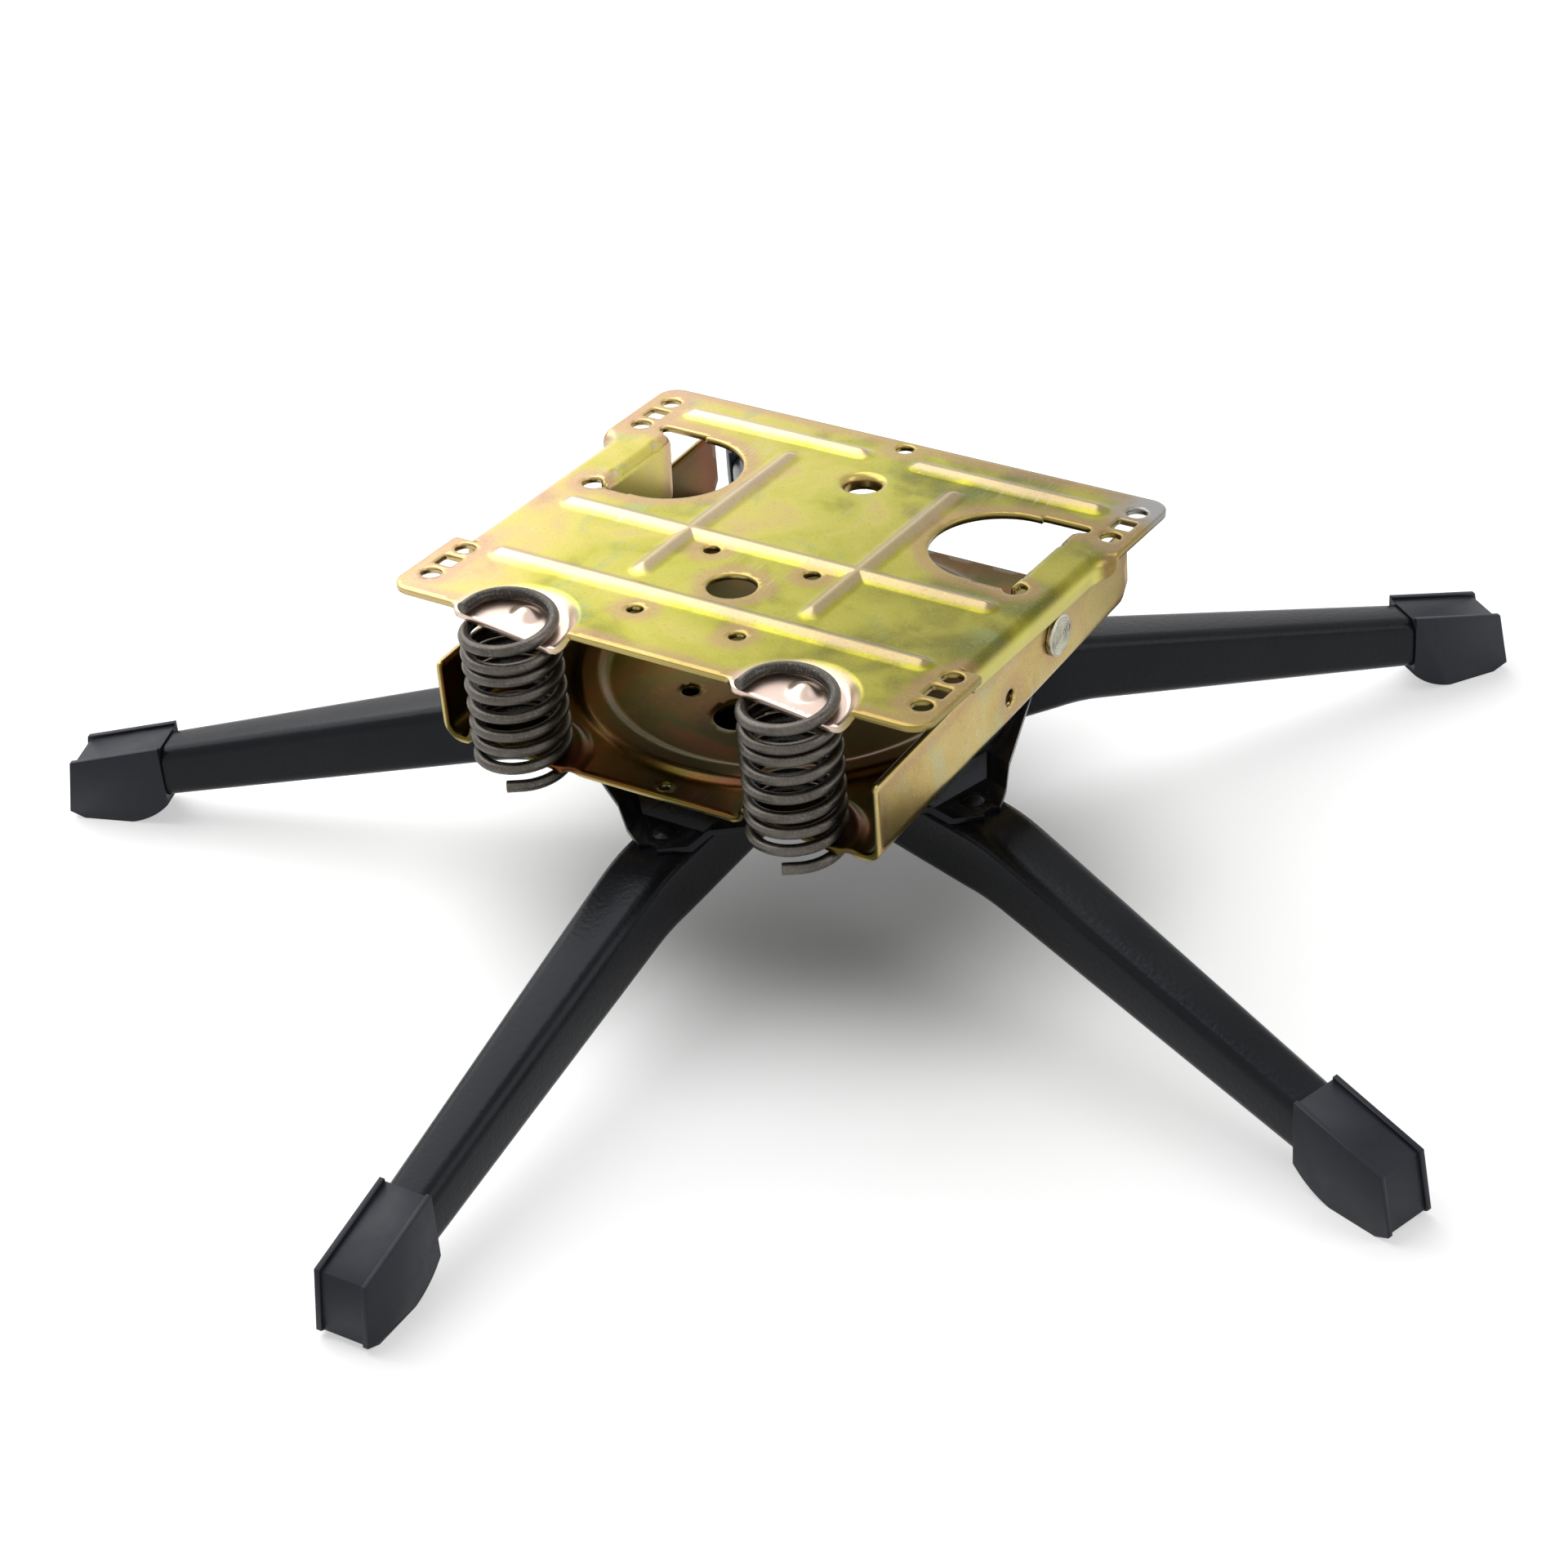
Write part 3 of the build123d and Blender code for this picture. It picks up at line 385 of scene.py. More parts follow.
def plate_outline():
    """The blank's edge: where a flange starts, a narrow slit parts it from the front corner."""
    slit_x, slit_front = FLANGE_CREASE + 0.5, FLANGE_START - 1
    right = tongue(PLATE_FRONT, PLATE_TONGUE, TONGUE_ROOT, 3)
    right += [(PLATE_HALF, PLATE_FRONT, 9), (PLATE_HALF, slit_front, 2.2), (slit_x, slit_front, 0.3)]
    right += [(slit_x, FLANGE_START, 0.3), (FLANGE_BLANK, FLANGE_START, 1.2)]
    for v in np.linspace(FLANGE_TURN, FLANGE_END, 9):
        fading = float(smooth(v, FLANGE_TURN, FLANGE_END))
        right.append((FLANGE_BLANK - (FLANGE_BLANK - PLATE_HALF) * fading, v, 0))
    right.append((PLATE_HALF, PLATE_BACK, 9))
    return both_halves(right)


def plate_holes():
    """Every hole of the plate, the ears' openings and the collar's blank hole among them."""
    loops = [hole(0, -41, 10, 56), hole(0, 93.6, 3.75)]
    for side in (-1, 1):
        loops.append(ear_opening(side))
        loops += [hole(side * 23, v, 3.3) for v in (-19, -74)]
        loops += [hole(side * BOLT_X, v, BOLT_HOLE) for v in BOLT_HOLES_Y]
        for v in (-SQUARE_HOLE_Y, SQUARE_HOLE_Y):
            signs = ((-1, -1), (-1, 1), (1, 1), (1, -1))
            corners = [(side * BOLT_X + a * BOLT_HOLE, v + b * BOLT_HOLE, 0.8) for a, b in signs]
            loops.append(rounded(corners, 1.0))
    loops.append(hole(0, COLLAR_PLACE, COLLAR_BLANK, 48))
    return loops


def plate_spots():
    """Mesh points of the plate: an even grid, finer at ribs and bends, with rings at collar and pockets."""
    across = lines(-123, 123, 2.1, (-113, -94, -LONG_RIB_X, LONG_RIB_X, 94, 113))
    along = lines(-108, 101, 2.1, (*CROSS_RIBS, REAR_RIB))
    grid = np.stack(np.meshgrid(across, along), -1).reshape(-1, 2)
    keep = np.hypot(grid[:, 0], grid[:, 1] - COLLAR_PLACE) > 13
    extra = [rings(0, COLLAR_PLACE, np.arange(COLLAR_BLANK + 0.9, 12.6, 0.9), 1.2)]
    pocket_radii = list(np.arange(2, 20, 2.0)) + list(np.arange(20.5, 29.6, 1.0))
    for spring_x in (-SPRING_X, SPRING_X):
        keep &= np.hypot(grid[:, 0] - spring_x, grid[:, 1] - SPRING_Y) > 29.5
        ring = rings(spring_x, SPRING_Y, pocket_radii, 1.6)
        off_nub = np.hypot(ring[:, 0] - spring_x - NUB_X, ring[:, 1] - SPRING_Y - NUB_Y) > 7.5
        extra += [ring[off_nub], rings(spring_x + NUB_X, SPRING_Y + NUB_Y, np.arange(0.6, 7.4, 0.75), 1.0)]
    return np.concatenate([grid[keep]] + extra)


def seat_plate():
    """The pressed seat plate."""
    loops = [plate_outline()] + plate_holes()
    return pressed_sheet("pressed_seat_plate", loops, plate_spots(), plate_base, plate_rise)


# Tilt housing

def housing_base(q):
    """The channel's blank with its two walls bent up."""
    side, u = np.where(q[:, 0] < 0, -1, 1), np.abs(q[:, 0])
    crease = HOUSING_INNER - HOUSING_BEND
    past = np.maximum(u - crease, 0)
    across, up = bent(past, HOUSING_BEND)
    return np.stack([side * (u - past + across), q[:, 1], HOUSING_FLOOR + up], 1)


def housing_rise(q):
    """The ball track's round bead and the two spring pockets."""
    x, y = q[:, 0], q[:, 1]
    height = BEAD_HEIGHT * (1 - smooth(np.abs(np.hypot(x, y) - RACE_RADIUS), BEAD_CROWN, BEAD_FOOT))
    for spring_x in (-SPRING_X, SPRING_X):
        away = np.hypot(x - spring_x, y - SPRING_Y)
        crown = HOUSING_POCKET_HEIGHT - HOOK_SLOPE * (x - spring_x)
        height += crown * (1 - smooth(away, POCKET_FLOOR, POCKET_MOUTH))
    return height


def up_the_wall(z):
    """Where a height on the housing's right wall lies across the flat blank."""
    return HOUSING_WALL + z - HOUSING_FLOOR - HOUSING_BEND


def housing():
    """The channel that carries the plate, notched where its walls meet the floor at the back."""
    edge = up_the_wall(HOUSING_TOP)
    right = tongue(HOUSING_FRONT, HOUSING_TONGUE, TONGUE_ROOT - 0.5, 2)
    right += [(edge, HOUSING_FRONT, 2.5), (edge, HOUSING_BACK, 2.5), (HOUSING_WALL + 4, HOUSING_BACK, 1)]
    right += [(HOUSING_WALL - 2.5, HOUSING_BACK - 5, 2), (HOUSING_WALL - 9, HOUSING_BACK, 1)]
    loops = [both_halves(right), hole(0, 0, 9, 48), hole(0, -44, 10, 56), hole(0, -98, 2.5, 24)]
    for side in (-1, 1):
        loops.append(hole(side * 27, -37, 3.5))
        loops.append(hole(side * up_the_wall(111.3), -3.1, 3.5))
        loops.append(hole(side * up_the_wall(PIVOT_Z), PIVOT_Y, 5.02))
    across = lines(-edge, edge, 2.6, (-95.5, 95.5), 5.6, 1.0)
    spots = np.stack(np.meshgrid(across, np.arange(-109, 98, 2.6)), -1).reshape(-1, 2)
    keep = np.abs(np.hypot(spots[:, 0], spots[:, 1]) - RACE_RADIUS) > 9.6
    extra = [rings(0, 0, np.arange(RACE_RADIUS - 9, RACE_RADIUS + 8.7, 1.0), 1.9)]
    pocket_radii = list(np.arange(2, 20, 2.4)) + list(np.arange(20.5, 28.6, 1.0))
    for spring_x in (-SPRING_X, SPRING_X):
        keep &= np.hypot(spots[:, 0] - spring_x, spots[:, 1] - SPRING_Y) > 29.3
        extra.append(rings(spring_x, SPRING_Y, pocket_radii, 1.9))
    spots = np.concatenate([spots[keep]] + extra)
    return pressed_sheet("pressed_housing", loops, spots, housing_base, housing_rise)


# Geometry Nodes: what repeats round the swivel axis, and wire along a path

def new_tree(name, sockets):
    """An empty modifier tree with a mesh in and out and the named inputs."""
    tree = bpy.data.node_groups.new(name, "GeometryNodeTree")
    tree.interface.new_socket("Geometry", in_out="INPUT", socket_type="NodeSocketGeometry")
    for label, kind in sockets:
        tree.interface.new_socket(label, in_out="INPUT", socket_type="NodeSocket" + kind)
    tree.interface.new_socket("Geometry", in_out="OUTPUT", socket_type="NodeSocketGeometry")
    return tree, tree.nodes.new("NodeGroupInput"), tree.nodes.new("NodeGroupOutput")


def joined(tree, source, target):
    """Links one node's output to another's input."""
    tree.links.new(source, target)


def round_the_axis():
    """Copies of a mesh turned evenly about the swivel axis."""
    tree, start, end = new_tree("round_the_axis", [("Count", "Int"), ("Material", "Material")])
    points = tree.nodes.new("GeometryNodePoints")
    place = tree.nodes.new("GeometryNodeInstanceOnPoints")
    index = tree.nodes.new("GeometryNodeInputIndex")
    share = tree.nodes.new("ShaderNodeMath")
    share.operation = "DIVIDE"
    turn = tree.nodes.new("ShaderNodeMath")
    turn.operation = "MULTIPLY"
    turn.inputs[1].default_value = 2 * math.pi
    spin = tree.nodes.new("ShaderNodeCombineXYZ")
    real = tree.nodes.new("GeometryNodeRealizeInstances")
    paint = tree.nodes.new("GeometryNodeSetMaterial")
    joined(tree, start.outputs["Count"], points.inputs["Count"])
    joined(tree, index.outputs[0], share.inputs[0])
    joined(tree, start.outputs["Count"], share.inputs[1])
    joined(tree, share.outputs[0], turn.inputs[0])
    joined(tree, turn.outputs[0], spin.inputs["Z"])
    joined(tree, points.outputs[0], place.inputs["Points"])
    joined(tree, start.outputs["Geometry"], place.inputs["Instance"])
    joined(tree, spin.outputs[0], place.inputs["Rotation"])
    joined(tree, place.outputs[0], real.inputs[0])
    joined(tree, real.outputs[0], paint.inputs["Geometry"])
    joined(tree, start.outputs["Material"], paint.inputs["Material"])
    joined(tree, paint.outputs[0], end.inputs[0])
    return tree


def wire_along():
    """Round wire along a run of edges, its ends closed."""
    sockets = [("Radius", "Float"), ("Sides", "Int"), ("Material", "Material")]
    tree, start, end = new_tree("wire_along", sockets)
    curve = tree.nodes.new("GeometryNodeMeshToCurve")
    circle = tree.nodes.new("GeometryNodeCurvePrimitiveCircle")
    sweep = tree.nodes.new("GeometryNodeCurveToMesh")
    sweep.inputs["Fill Caps"].default_value = True
    real = tree.nodes.new("GeometryNodeRealizeInstances")
    paint = tree.nodes.new("GeometryNodeSetMaterial")
    joined(tree, start.outputs["Geometry"], curve.inputs["Mesh"])
    joined(tree, start.outputs["Radius"], circle.inputs["Radius"])
    joined(tree, start.outputs["Sides"], circle.inputs["Resolution"])
    joined(tree, curve.outputs[0], sweep.inputs["Curve"])
    joined(tree, circle.outputs[0], sweep.inputs["Profile Curve"])
    joined(tree, sweep.outputs[0], real.inputs[0])
    joined(tree, real.outputs[0], paint.inputs["Geometry"])
    joined(tree, start.outputs["Material"], paint.inputs["Material"])
    joined(tree, paint.outputs[0], end.inputs[0])
    return tree


def grown(source, tree, sharp=40, **values):
    """The plain mesh that a tree makes of an object, in a new object of the same name."""
    modifier = source.modifiers.new("grow", "NODES")
    modifier.node_group = tree
    for item in tree.interface.items_tree:
        if item.in_out == "INPUT" and item.name in values:
            modifier[item.identifier] = values[item.name]
    bpy.context.view_layer.update()
    seen = source.evaluated_get(bpy.context.evaluated_depsgraph_get())
    mesh = bpy.data.meshes.new_from_object(seen)
    source.modifiers.remove(modifier)
    source.data = mesh
    mesh.shade_smooth()
    mesh.set_sharp_from_angle(angle=math.radians(sharp))
    return source


# Springs

def wire_height(turn):
    """Height of the wire's centre after so many turns from its top end."""
    top = PLATE_Z - SPRING_Y * math.tan(PLATE_TILT) - PLATE_POCKET_DEPTH
    low = HOUSING_FLOOR + HOUSING_POCKET_HEIGHT
    over_pocket = 0.6
    rest = (WIRE / 2 + over_pocket) / math.cos(math.atan(HOOK_SLOPE)) + HOOK_PITCH / 4
    hook = HOOK_TURNS * HOOK_PITCH
    closed = (TOP_CLOSE_TURNS + LOW_CLOSE_TURNS) * COIL_PITCH
    open_turns = WIRE_TURNS - END_TURNS - 2 * HOOK_TURNS - TOP_CLOSE_TURNS - LOW_CLOSE_TURNS
    runs = [0, HOOK_TURNS, TOP_CLOSE_TURNS, open_turns, LOW_CLOSE_TURNS, HOOK_TURNS, END_TURNS]
    turns = np.cumsum(runs)
    falls = [0, hook, TOP_CLOSE_TURNS * COIL_PITCH, top - low - hook - closed]
    drops = np.array(falls + [LOW_CLOSE_TURNS * COIL_PITCH, hook, END_TURNS * COIL_PITCH])
    spread = np.linspace(-0.1, 0.1, 9)
    return top + rest - np.mean([np.interp(turn + s, turns, np.cumsum(drops)) for s in spread], 0)


def spring(name, x, tree, material):
    """One hooked coil spring, cut square at both ends."""
    turn = np.linspace(0, WIRE_TURNS, 8 * 48)
    a = math.pi - 2 * math.pi * turn
    line = np.stack([x + COIL * np.cos(a), SPRING_Y + COIL * np.sin(a), wire_height(turn)], 1)
    first, last = line[0] - line[1], line[-1] - line[-2]
    steps = np.array((4.5, 3, 1.5))[:, None]
    line = np.concatenate([
        line[0] + first / np.linalg.norm(first) * steps,
        line,
        line[-1] + last / np.linalg.norm(last) * steps[::-1],
    ])
    made = mesh_object(name, line, [])
    made.data.edges.add(len(line) - 1)
    pairs = np.stack([np.arange(len(line) - 1), np.arange(1, len(line))], 1)
    made.data.edges.foreach_set("vertices", pairs.ravel())
    made.data.update()
    return grown(made, tree, Radius=WIRE / 2 * MM, Sides=20, Material=material)


# Legs and other parts of the base

def leg_top(r):
    """Height of a leg's top face at a distance from the axis."""
    along = r - LEG_BEND_START
    if along <= 0:
        return LEG_TOP
    return LEG_TOP - LEG_FALL * (along**2 / (2 * LEG_BEND) if along < LEG_BEND else along - LEG_BEND / 2)


def leg():
    """One tapering tube along +X, mitred at the axis."""
    stations = [0, 60, 95, 104] + list(np.linspace(108, 134, 12)) + list(np.linspace(150, LEG_END, 8))
    verts = []
    for r in stations:
        share = max(0, r - LEG_BEND_START) / (LEG_END - LEG_BEND_START)
        width, height = 27 - 7.4 * share, 31 - 8 * share
        middle = leg_top(r) - height / 2
        for y, z in leg_section(width, height):
            x = max(r, abs(y) / math.tan(math.pi / LEG_COUNT))
            verts.append((x, y, middle + z))
    n = len(verts) // len(stations)
    faces = [
        (i * n + k, i * n + (k + 1) % n, (i + 1) * n + (k + 1) % n, (i + 1) * n + k)
        for i in range(len(stations) - 1) for k in range(n)
    ]
    faces.append(tuple(range(n))[::-1])
    faces.append(tuple(range(len(verts) - n, len(verts))))
    return mesh_object("legs", verts, faces)


def leg_section(width, height, radius=6, per_corner=6):
    """The rounded rectangle that a leg has across it, with the same count at any size."""
    out = []
    for cx, cy, start in ((1, -1, -90), (1, 1, 0), (-1, 1, 90), (-1, -1, 180)):
        for a in np.radians(np.linspace(start, start + 90, per_corner)):
            out.append((cx * (width / 2 - radius) + radius * math.cos(a),
                        cy * (height / 2 - radius) + radius * math.sin(a)))
    return out


def rivet_dome():
    """One hub rivet's head on +X, seated in its ear."""
    ball = (RIVET_HALF**2 + RIVET_HEIGHT**2) / (2 * RIVET_HEIGHT)
    verts, rim = [], 28
    angles = np.linspace(0, 2 * math.pi, rim, endpoint=False)
    for share in (1, 0.85, 0.68, 0.5, 0.3, 0.12):
        r = RIVET_HALF * share
        z = RIVET_SEAT + RIVET_HEIGHT - ball + math.sqrt(ball**2 - r**2)
        verts += [(RIVET_PLACE + r * math.cos(a), r * math.sin(a), z) for a in angles]
    low = [(x, y, RIVET_SEAT - 0.3) for x, y, z in verts[:rim]]
    verts = low + verts
    rows = len(verts) // rim
    faces = [(i * rim + k, i * rim + (k + 1) % rim, (i + 1) * rim + (k + 1) % rim, (i + 1) * rim + k)
             for i in range(rows - 1) for k in range(rim)]
    faces += [tuple(range(rim))[::-1], tuple(range(len(verts) - rim, len(verts)))]
    return mesh_object("hub_rivet_domes", verts, faces)


def turned(made, angle):
    """The object with its mesh turned about the swivel axis."""
    made.data.transform(Matrix.Rotation(angle, 4, "Z"))
    return made


def softened(node, name, width, segments=2):
    """A copy of a solid's mesh, its doubles merged, with its hard edges eased."""
    made = bpy.data.objects.new(name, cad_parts[node].data.copy())
    bpy.context.scene.collection.objects.link(made)
    weld = made.modifiers.new("weld", "WELD")
    weld.merge_threshold = 2e-6
    flat = made.modifiers.new("flat", "DECIMATE")
    flat.decimate_type = "DISSOLVE"
    flat.angle_limit = math.radians(1.5)
    ease = made.modifiers.new("ease", "BEVEL")
    ease.width = width * MM
    ease.segments = segments
    ease.limit_method = "ANGLE"
    ease.angle_limit = math.radians(32)
    ease.harden_normals = True
    seen = made.evaluated_get(bpy.context.evaluated_depsgraph_get())
    mesh = bpy.data.meshes.new_from_object(seen)
    made.modifiers.clear()
    made.data = mesh
    mesh.shade_smooth()
    mesh.set_sharp_from_angle(angle=math.radians(50))
    return made


# Materials

class Value:
    """A socket that can be used in sums: each sum adds its Math node."""

    def __init__(self, paint, socket):
        self.paint, self.socket = paint, socket

    def _sum(self, operation, a, b):
        """The Value of one Math node."""
        return self.paint.node("ShaderNodeMath", {"operation": operation}, a, b)

    def __add__(self, other):
        return self._sum("ADD", self, other)

    def __radd__(self, other):
        return self._sum("ADD", other, self)

    def __sub__(self, other):
        return self._sum("SUBTRACT", self, other)

    def __rsub__(self, other):
        return self._sum("SUBTRACT", other, self)

    def __mul__(self, other):
        return self._sum("MULTIPLY", self, other)

    def __rmul__(self, other):
        return self._sum("MULTIPLY", other, self)

    def __pow__(self, other):
        return self._sum("POWER", self, other)

    def __abs__(self):
        return self.paint.node("ShaderNodeMath", {"operation": "ABSOLUTE"}, self)


class Paint:
    """One finish: a material and the ways to add nodes to it."""

    def __init__(self, name, **fixed):
        self.material = bpy.data.materials.new(name)
        self.material.use_nodes = True
        self.tree = self.material.node_tree
        self.shader = self.tree.nodes["Principled BSDF"]
        for key, value in fixed.items():
            self.shader.inputs[key.replace("_", " ")].default_value = value
        self.place = self.node("ShaderNodeTexCoord", {}, output="Object")
        apart = self.node("ShaderNodeSeparateXYZ", {}, self.place)
        self.x, self.y, self.z = (Value(self, apart.socket.node.outputs[k]) for k in range(3))

    def node(self, kind, settings, *values, output=0, **named):
        """Any node: its settings first, then the values or links of its sockets."""
        made = self.tree.nodes.new(kind)
        for key, value in settings.items():
            if key == "stops":
                ramp = made.color_ramp.elements
                while len(ramp) < len(value):
                    ramp.new(0.5)
                for stop, (position, colour) in zip(ramp, value):
                    stop.position, stop.color = position, (*colour, 1)
            else:
                setattr(made, key, value)
        pairs = list(enumerate(values)) + [(k.replace("_", " "), v) for k, v in named.items()]
        for key, value in pairs:
            if isinstance(value, Value):
                self.tree.links.new(value.socket, made.inputs[key])
            else:
                made.inputs[key].default_value = value
        return Value(self, made.outputs[output])

    def noise(self, scale, detail=4.0, roughness=0.55, at=None, distortion=0.0):
        """Noise about 0.5, at the piece's own place unless another is given."""
        return self.node("ShaderNodeTexNoise", {}, Vector=at or self.place, Scale=scale, Detail=detail,
                         Roughness=roughness, Distortion=distortion)

    def stretched(self, x, y, z, turn=0.0):
        """The piece's own place with each axis scaled, for a pattern that runs one way."""
        return self.node("ShaderNodeMapping", {}, self.place, Scale=(x, y, z), Rotation=(0, 0, turn))

    def ramp(self, value, *stops):
        """A colour for each value, given as stops of position and colour."""
        return self.node("ShaderNodeValToRGB", {"stops": stops}, value)

    def step(self, value, low, high, start=0.0, end=1.0):
        """From start to end in an even S as the value goes from low to high."""
        soft = {"interpolation_type": "SMOOTHSTEP"}
        return self.node("ShaderNodeMapRange", soft, value, low, high, start, end)

    def mixed(self, share, a, b, kind="MIX"):
        """Colour a with a share of colour b."""
        made = self.tree.nodes.new("ShaderNodeMix")
        made.data_type, made.blend_type = "RGBA", kind
        for key, value in ((0, share), (6, a), (7, b)):
            if isinstance(value, Value):
                self.tree.links.new(value.socket, made.inputs[key])
            else:
                made.inputs[key].default_value = value if key == 0 else (*value, 1)
        return Value(self, made.outputs[2])

    def attribute(self, name):
        """A number that the piece's mesh keeps for each point."""
        return self.node("ShaderNodeAttribute", {"attribute_name": name}, output="Fac")

    def bump(self, height, distance, strength=1.0):
        """Fine relief, its depth in metres."""
        made = self.node("ShaderNodeBump", {}, Height=height, Distance=distance, Strength=strength)
        self.tree.links.new(made.socket, self.shader.inputs["Normal"])

    def finish(self, **links):
        """Links what changes over the surface to the shader, and gives the material."""
        for key, value in links.items():
            self.tree.links.new(value.socket, self.shader.inputs[key.replace("_", " ")])
        return self.material


def yellow_zinc(name, stops, drift_x, drift_y, halo_colour, rim_colour, rough):
    """Yellow chromate on zinc: a metal film whose colour drifts with its thickness, pink where pressed."""
    p = Paint(name, Metallic=1.0)
    broad = p.noise(12, 3, 0.5, distortion=1.2)
    patch = p.noise(44, 3, 0.5, distortion=0.6)
    film = 0.5 + (broad - 0.5) + (patch - 0.5) * 0.4 + p.x * drift_x + p.y * drift_y
    colour = p.ramp(film, *stops)
    bloom = p.noise(24, 4, 0.6, at=p.stretched(1.6, 1, 1, 0.6), distortion=0.7)
    colour = p.mixed(p.step(bloom, 0.56, 0.72, 0, 0.55), colour, (0.5, 0.68, 0.4))
    press = abs(p.attribute("press"))
    around = p.attribute("halo") + (patch - 0.5) * 0.5
    colour = p.mixed(p.step(around, 0.22, 0.62, 0, 0.62), colour, halo_colour)
    colour = p.mixed(p.step(around, 0.66, 0.95, 0, 0.55), colour, rim_colour)
    pink = p.step(press + (patch - 0.5) * 1.6, 0.1, 1.5, 0, 0.78)
    colour = p.mixed(pink, colour, (0.95, 0.74, 0.68))
    speck = p.noise(900, 3, 0.65)
    colour = p.mixed(p.step(speck, 0.57, 0.7, 0, 0.3), colour, (0.3, 0.27, 0.12), "MULTIPLY")
    colour = p.mixed(p.step(speck, 0.42, 0.3, 0, 0.45), colour, (0.98, 0.94, 0.6))
    scratches = []
    for turn in (0.5, 1.4, 2.3):
        line = p.noise(46, 1, 0.3, at=p.stretched(26, 1, 1, turn))
        kept = p.step(p.noise(31, 2, 0.5), 0.56, 0.66)
        scratches.append(p.step(line, 0.685, 0.7) * kept)
    scratched = (scratches[0] + scratches[1] + scratches[2]) * 0.5
    colour = p.mixed(scratched, colour, (0.86, 0.85, 0.76))
    worn = p.step(p.attribute("rim") + p.noise(150, 4, 0.7) * 0.3, 1.02, 1.4, 0, 0.4)
    colour = p.mixed(worn, colour, (0.8, 0.74, 0.36))
    p.bump(p.noise(1500, 2, 0.5) * 0.4 + p.noise(420, 3) * 0.6, 0.00004, 0.5)
    roughness = rough + patch * 0.12 + p.step(speck, 0.5, 0.8, 0, 0.06) + scratched * 0.1
    return p, colour, roughness


def from_spring_axis(p):
    """How far a point is from the nearer spring's axis, in metres."""
    return ((abs(p.x) - SPRING_X * MM) ** 2 + (p.y - SPRING_Y * MM) ** 2) ** 0.5


def plate_finish():
    """The plate's own film: greener to the right, with painted light and shade making it lighter to the left
    and darker to the right, pale in the pockets, worn grey at one corner.
    """
    stops = [
        (0.14, (0.8, 0.52, 0.36)),
        (0.27, (0.98, 0.76, 0.34)),
        (0.4, (0.98, 0.88, 0.23)),
        (0.54, (0.82, 0.79, 0.12)),
        (0.68, (0.46, 0.44, 0.06)),
        (0.82, (0.2, 0.3, 0.13)),
        (0.95, (0.4, 0.32, 0.11)),
    ]
    halo, rim = (0.86, 0.5, 0.42), (0.82, 0.62, 0.24)
    # drift_x 1.55 turns the film pink and pale to the left and green and dark to the right: the hues are the
    # film's own, the lighter left and darker right are painted light and shade.
    p, colour, roughness = yellow_zinc("plate_yellow_zinc", stops, 1.55, 0.1, halo, rim, 0.25)
    # Painted shade: the whole film is multiplied darker and darker towards the right.
    painted_shade_stops = (0.05, (0.62, 0.58, 0.57)), (0.45, (0.48, 0.475, 0.35)), (0.8, (0.34, 0.325, 0.22))
    colour = p.mixed(1.0, colour, p.ramp(p.x * 4 + 0.5, *painted_shade_stops), "MULTIPLY")
    flange = p.step(abs(p.x), 0.1125, 0.1165) * p.step(abs(p.y + 0.006), 0.052, 0.046)
    colour = p.mixed(flange, colour, (0.78, 0.76, 0.17))
    pocket = p.step(from_spring_axis(p), 0.028, 0.02, 0, 0.75)
    colour = p.mixed(pocket, colour, (0.78, 0.61, 0.55))
    from_corner = ((p.x - 0.118) ** 2 + (p.y - 0.098) ** 2) ** 0.5 + (p.noise(90, 5, 0.7) - 0.5) * 0.03
    colour = p.mixed(p.step(from_corner, 0.03, 0.008, 0, 0.85), colour, (0.25, 0.26, 0.27))
    return p.finish(Base_Color=colour, Roughness=roughness)


def housing_finish():
    """The housing's film: brown inside and darkened there as painted shade, with pale blue-green runs down
    its outer walls.
    """
    stops = [
        (0.2, (0.62, 0.36, 0.12)),
        (0.4, (0.8, 0.58, 0.18)),
        (0.55, (0.86, 0.67, 0.25)),
        (0.7, (0.74, 0.46, 0.2)),
        (0.85, (0.74, 0.72, 0.28)),
    ]
    halo, rim = (0.66, 0.4, 0.2), (0.74, 0.56, 0.2)
    p, colour, roughness = yellow_zinc("housing_yellow_zinc", stops, 0.3, 0.6, halo, rim, 0.24)
    wall_inside, wall_outside = 0.0975, 0.0988
    outer = p.step(abs(p.x), wall_inside, wall_outside)
    run = p.noise(26, 4, 0.6, at=p.stretched(1, 1, 0.25), distortion=0.5)
    colour = p.mixed(p.step(run, 0.55, 0.66, 0, 0.65) * outer, colour, (0.62, 0.72, 0.52))
    smear = p.noise(40, 4, 0.6, at=p.stretched(1, 1, 0.3), distortion=0.4)
    colour = p.mixed(p.step(smear, 0.58, 0.66, 0, 0.5) * outer, colour, (0.56, 0.36, 0.16))
    # Inside the channel the colour is multiplied by a dark mottled tint: its brown, green and red are the
    # film's own colour, and its darkness is painted shade from the plate above.
    inside_tint_and_shade = p.ramp(
        p.noise(17, 3, 0.5, distortion=1.0),
        (0.3, (0.24, 0.08, 0.04)),
        (0.45, (0.155, 0.095, 0.014)),
        (0.58, (0.09, 0.11, 0.014)),
        (0.7, (0.24, 0.11, 0.07)),
    )
    inside_channel_shade = p.step(abs(p.x), wall_outside, wall_inside, 0, 0.96) * p.step(p.z, 0.0968, 0.0988)
    colour = p.mixed(inside_channel_shade, colour, inside_tint_and_shade, "MULTIPLY")
    colour = p.mixed(1.0, colour, (0.64, 0.64, 0.62), "MULTIPLY")
    return p.finish(Base_Color=colour, Roughness=roughness)


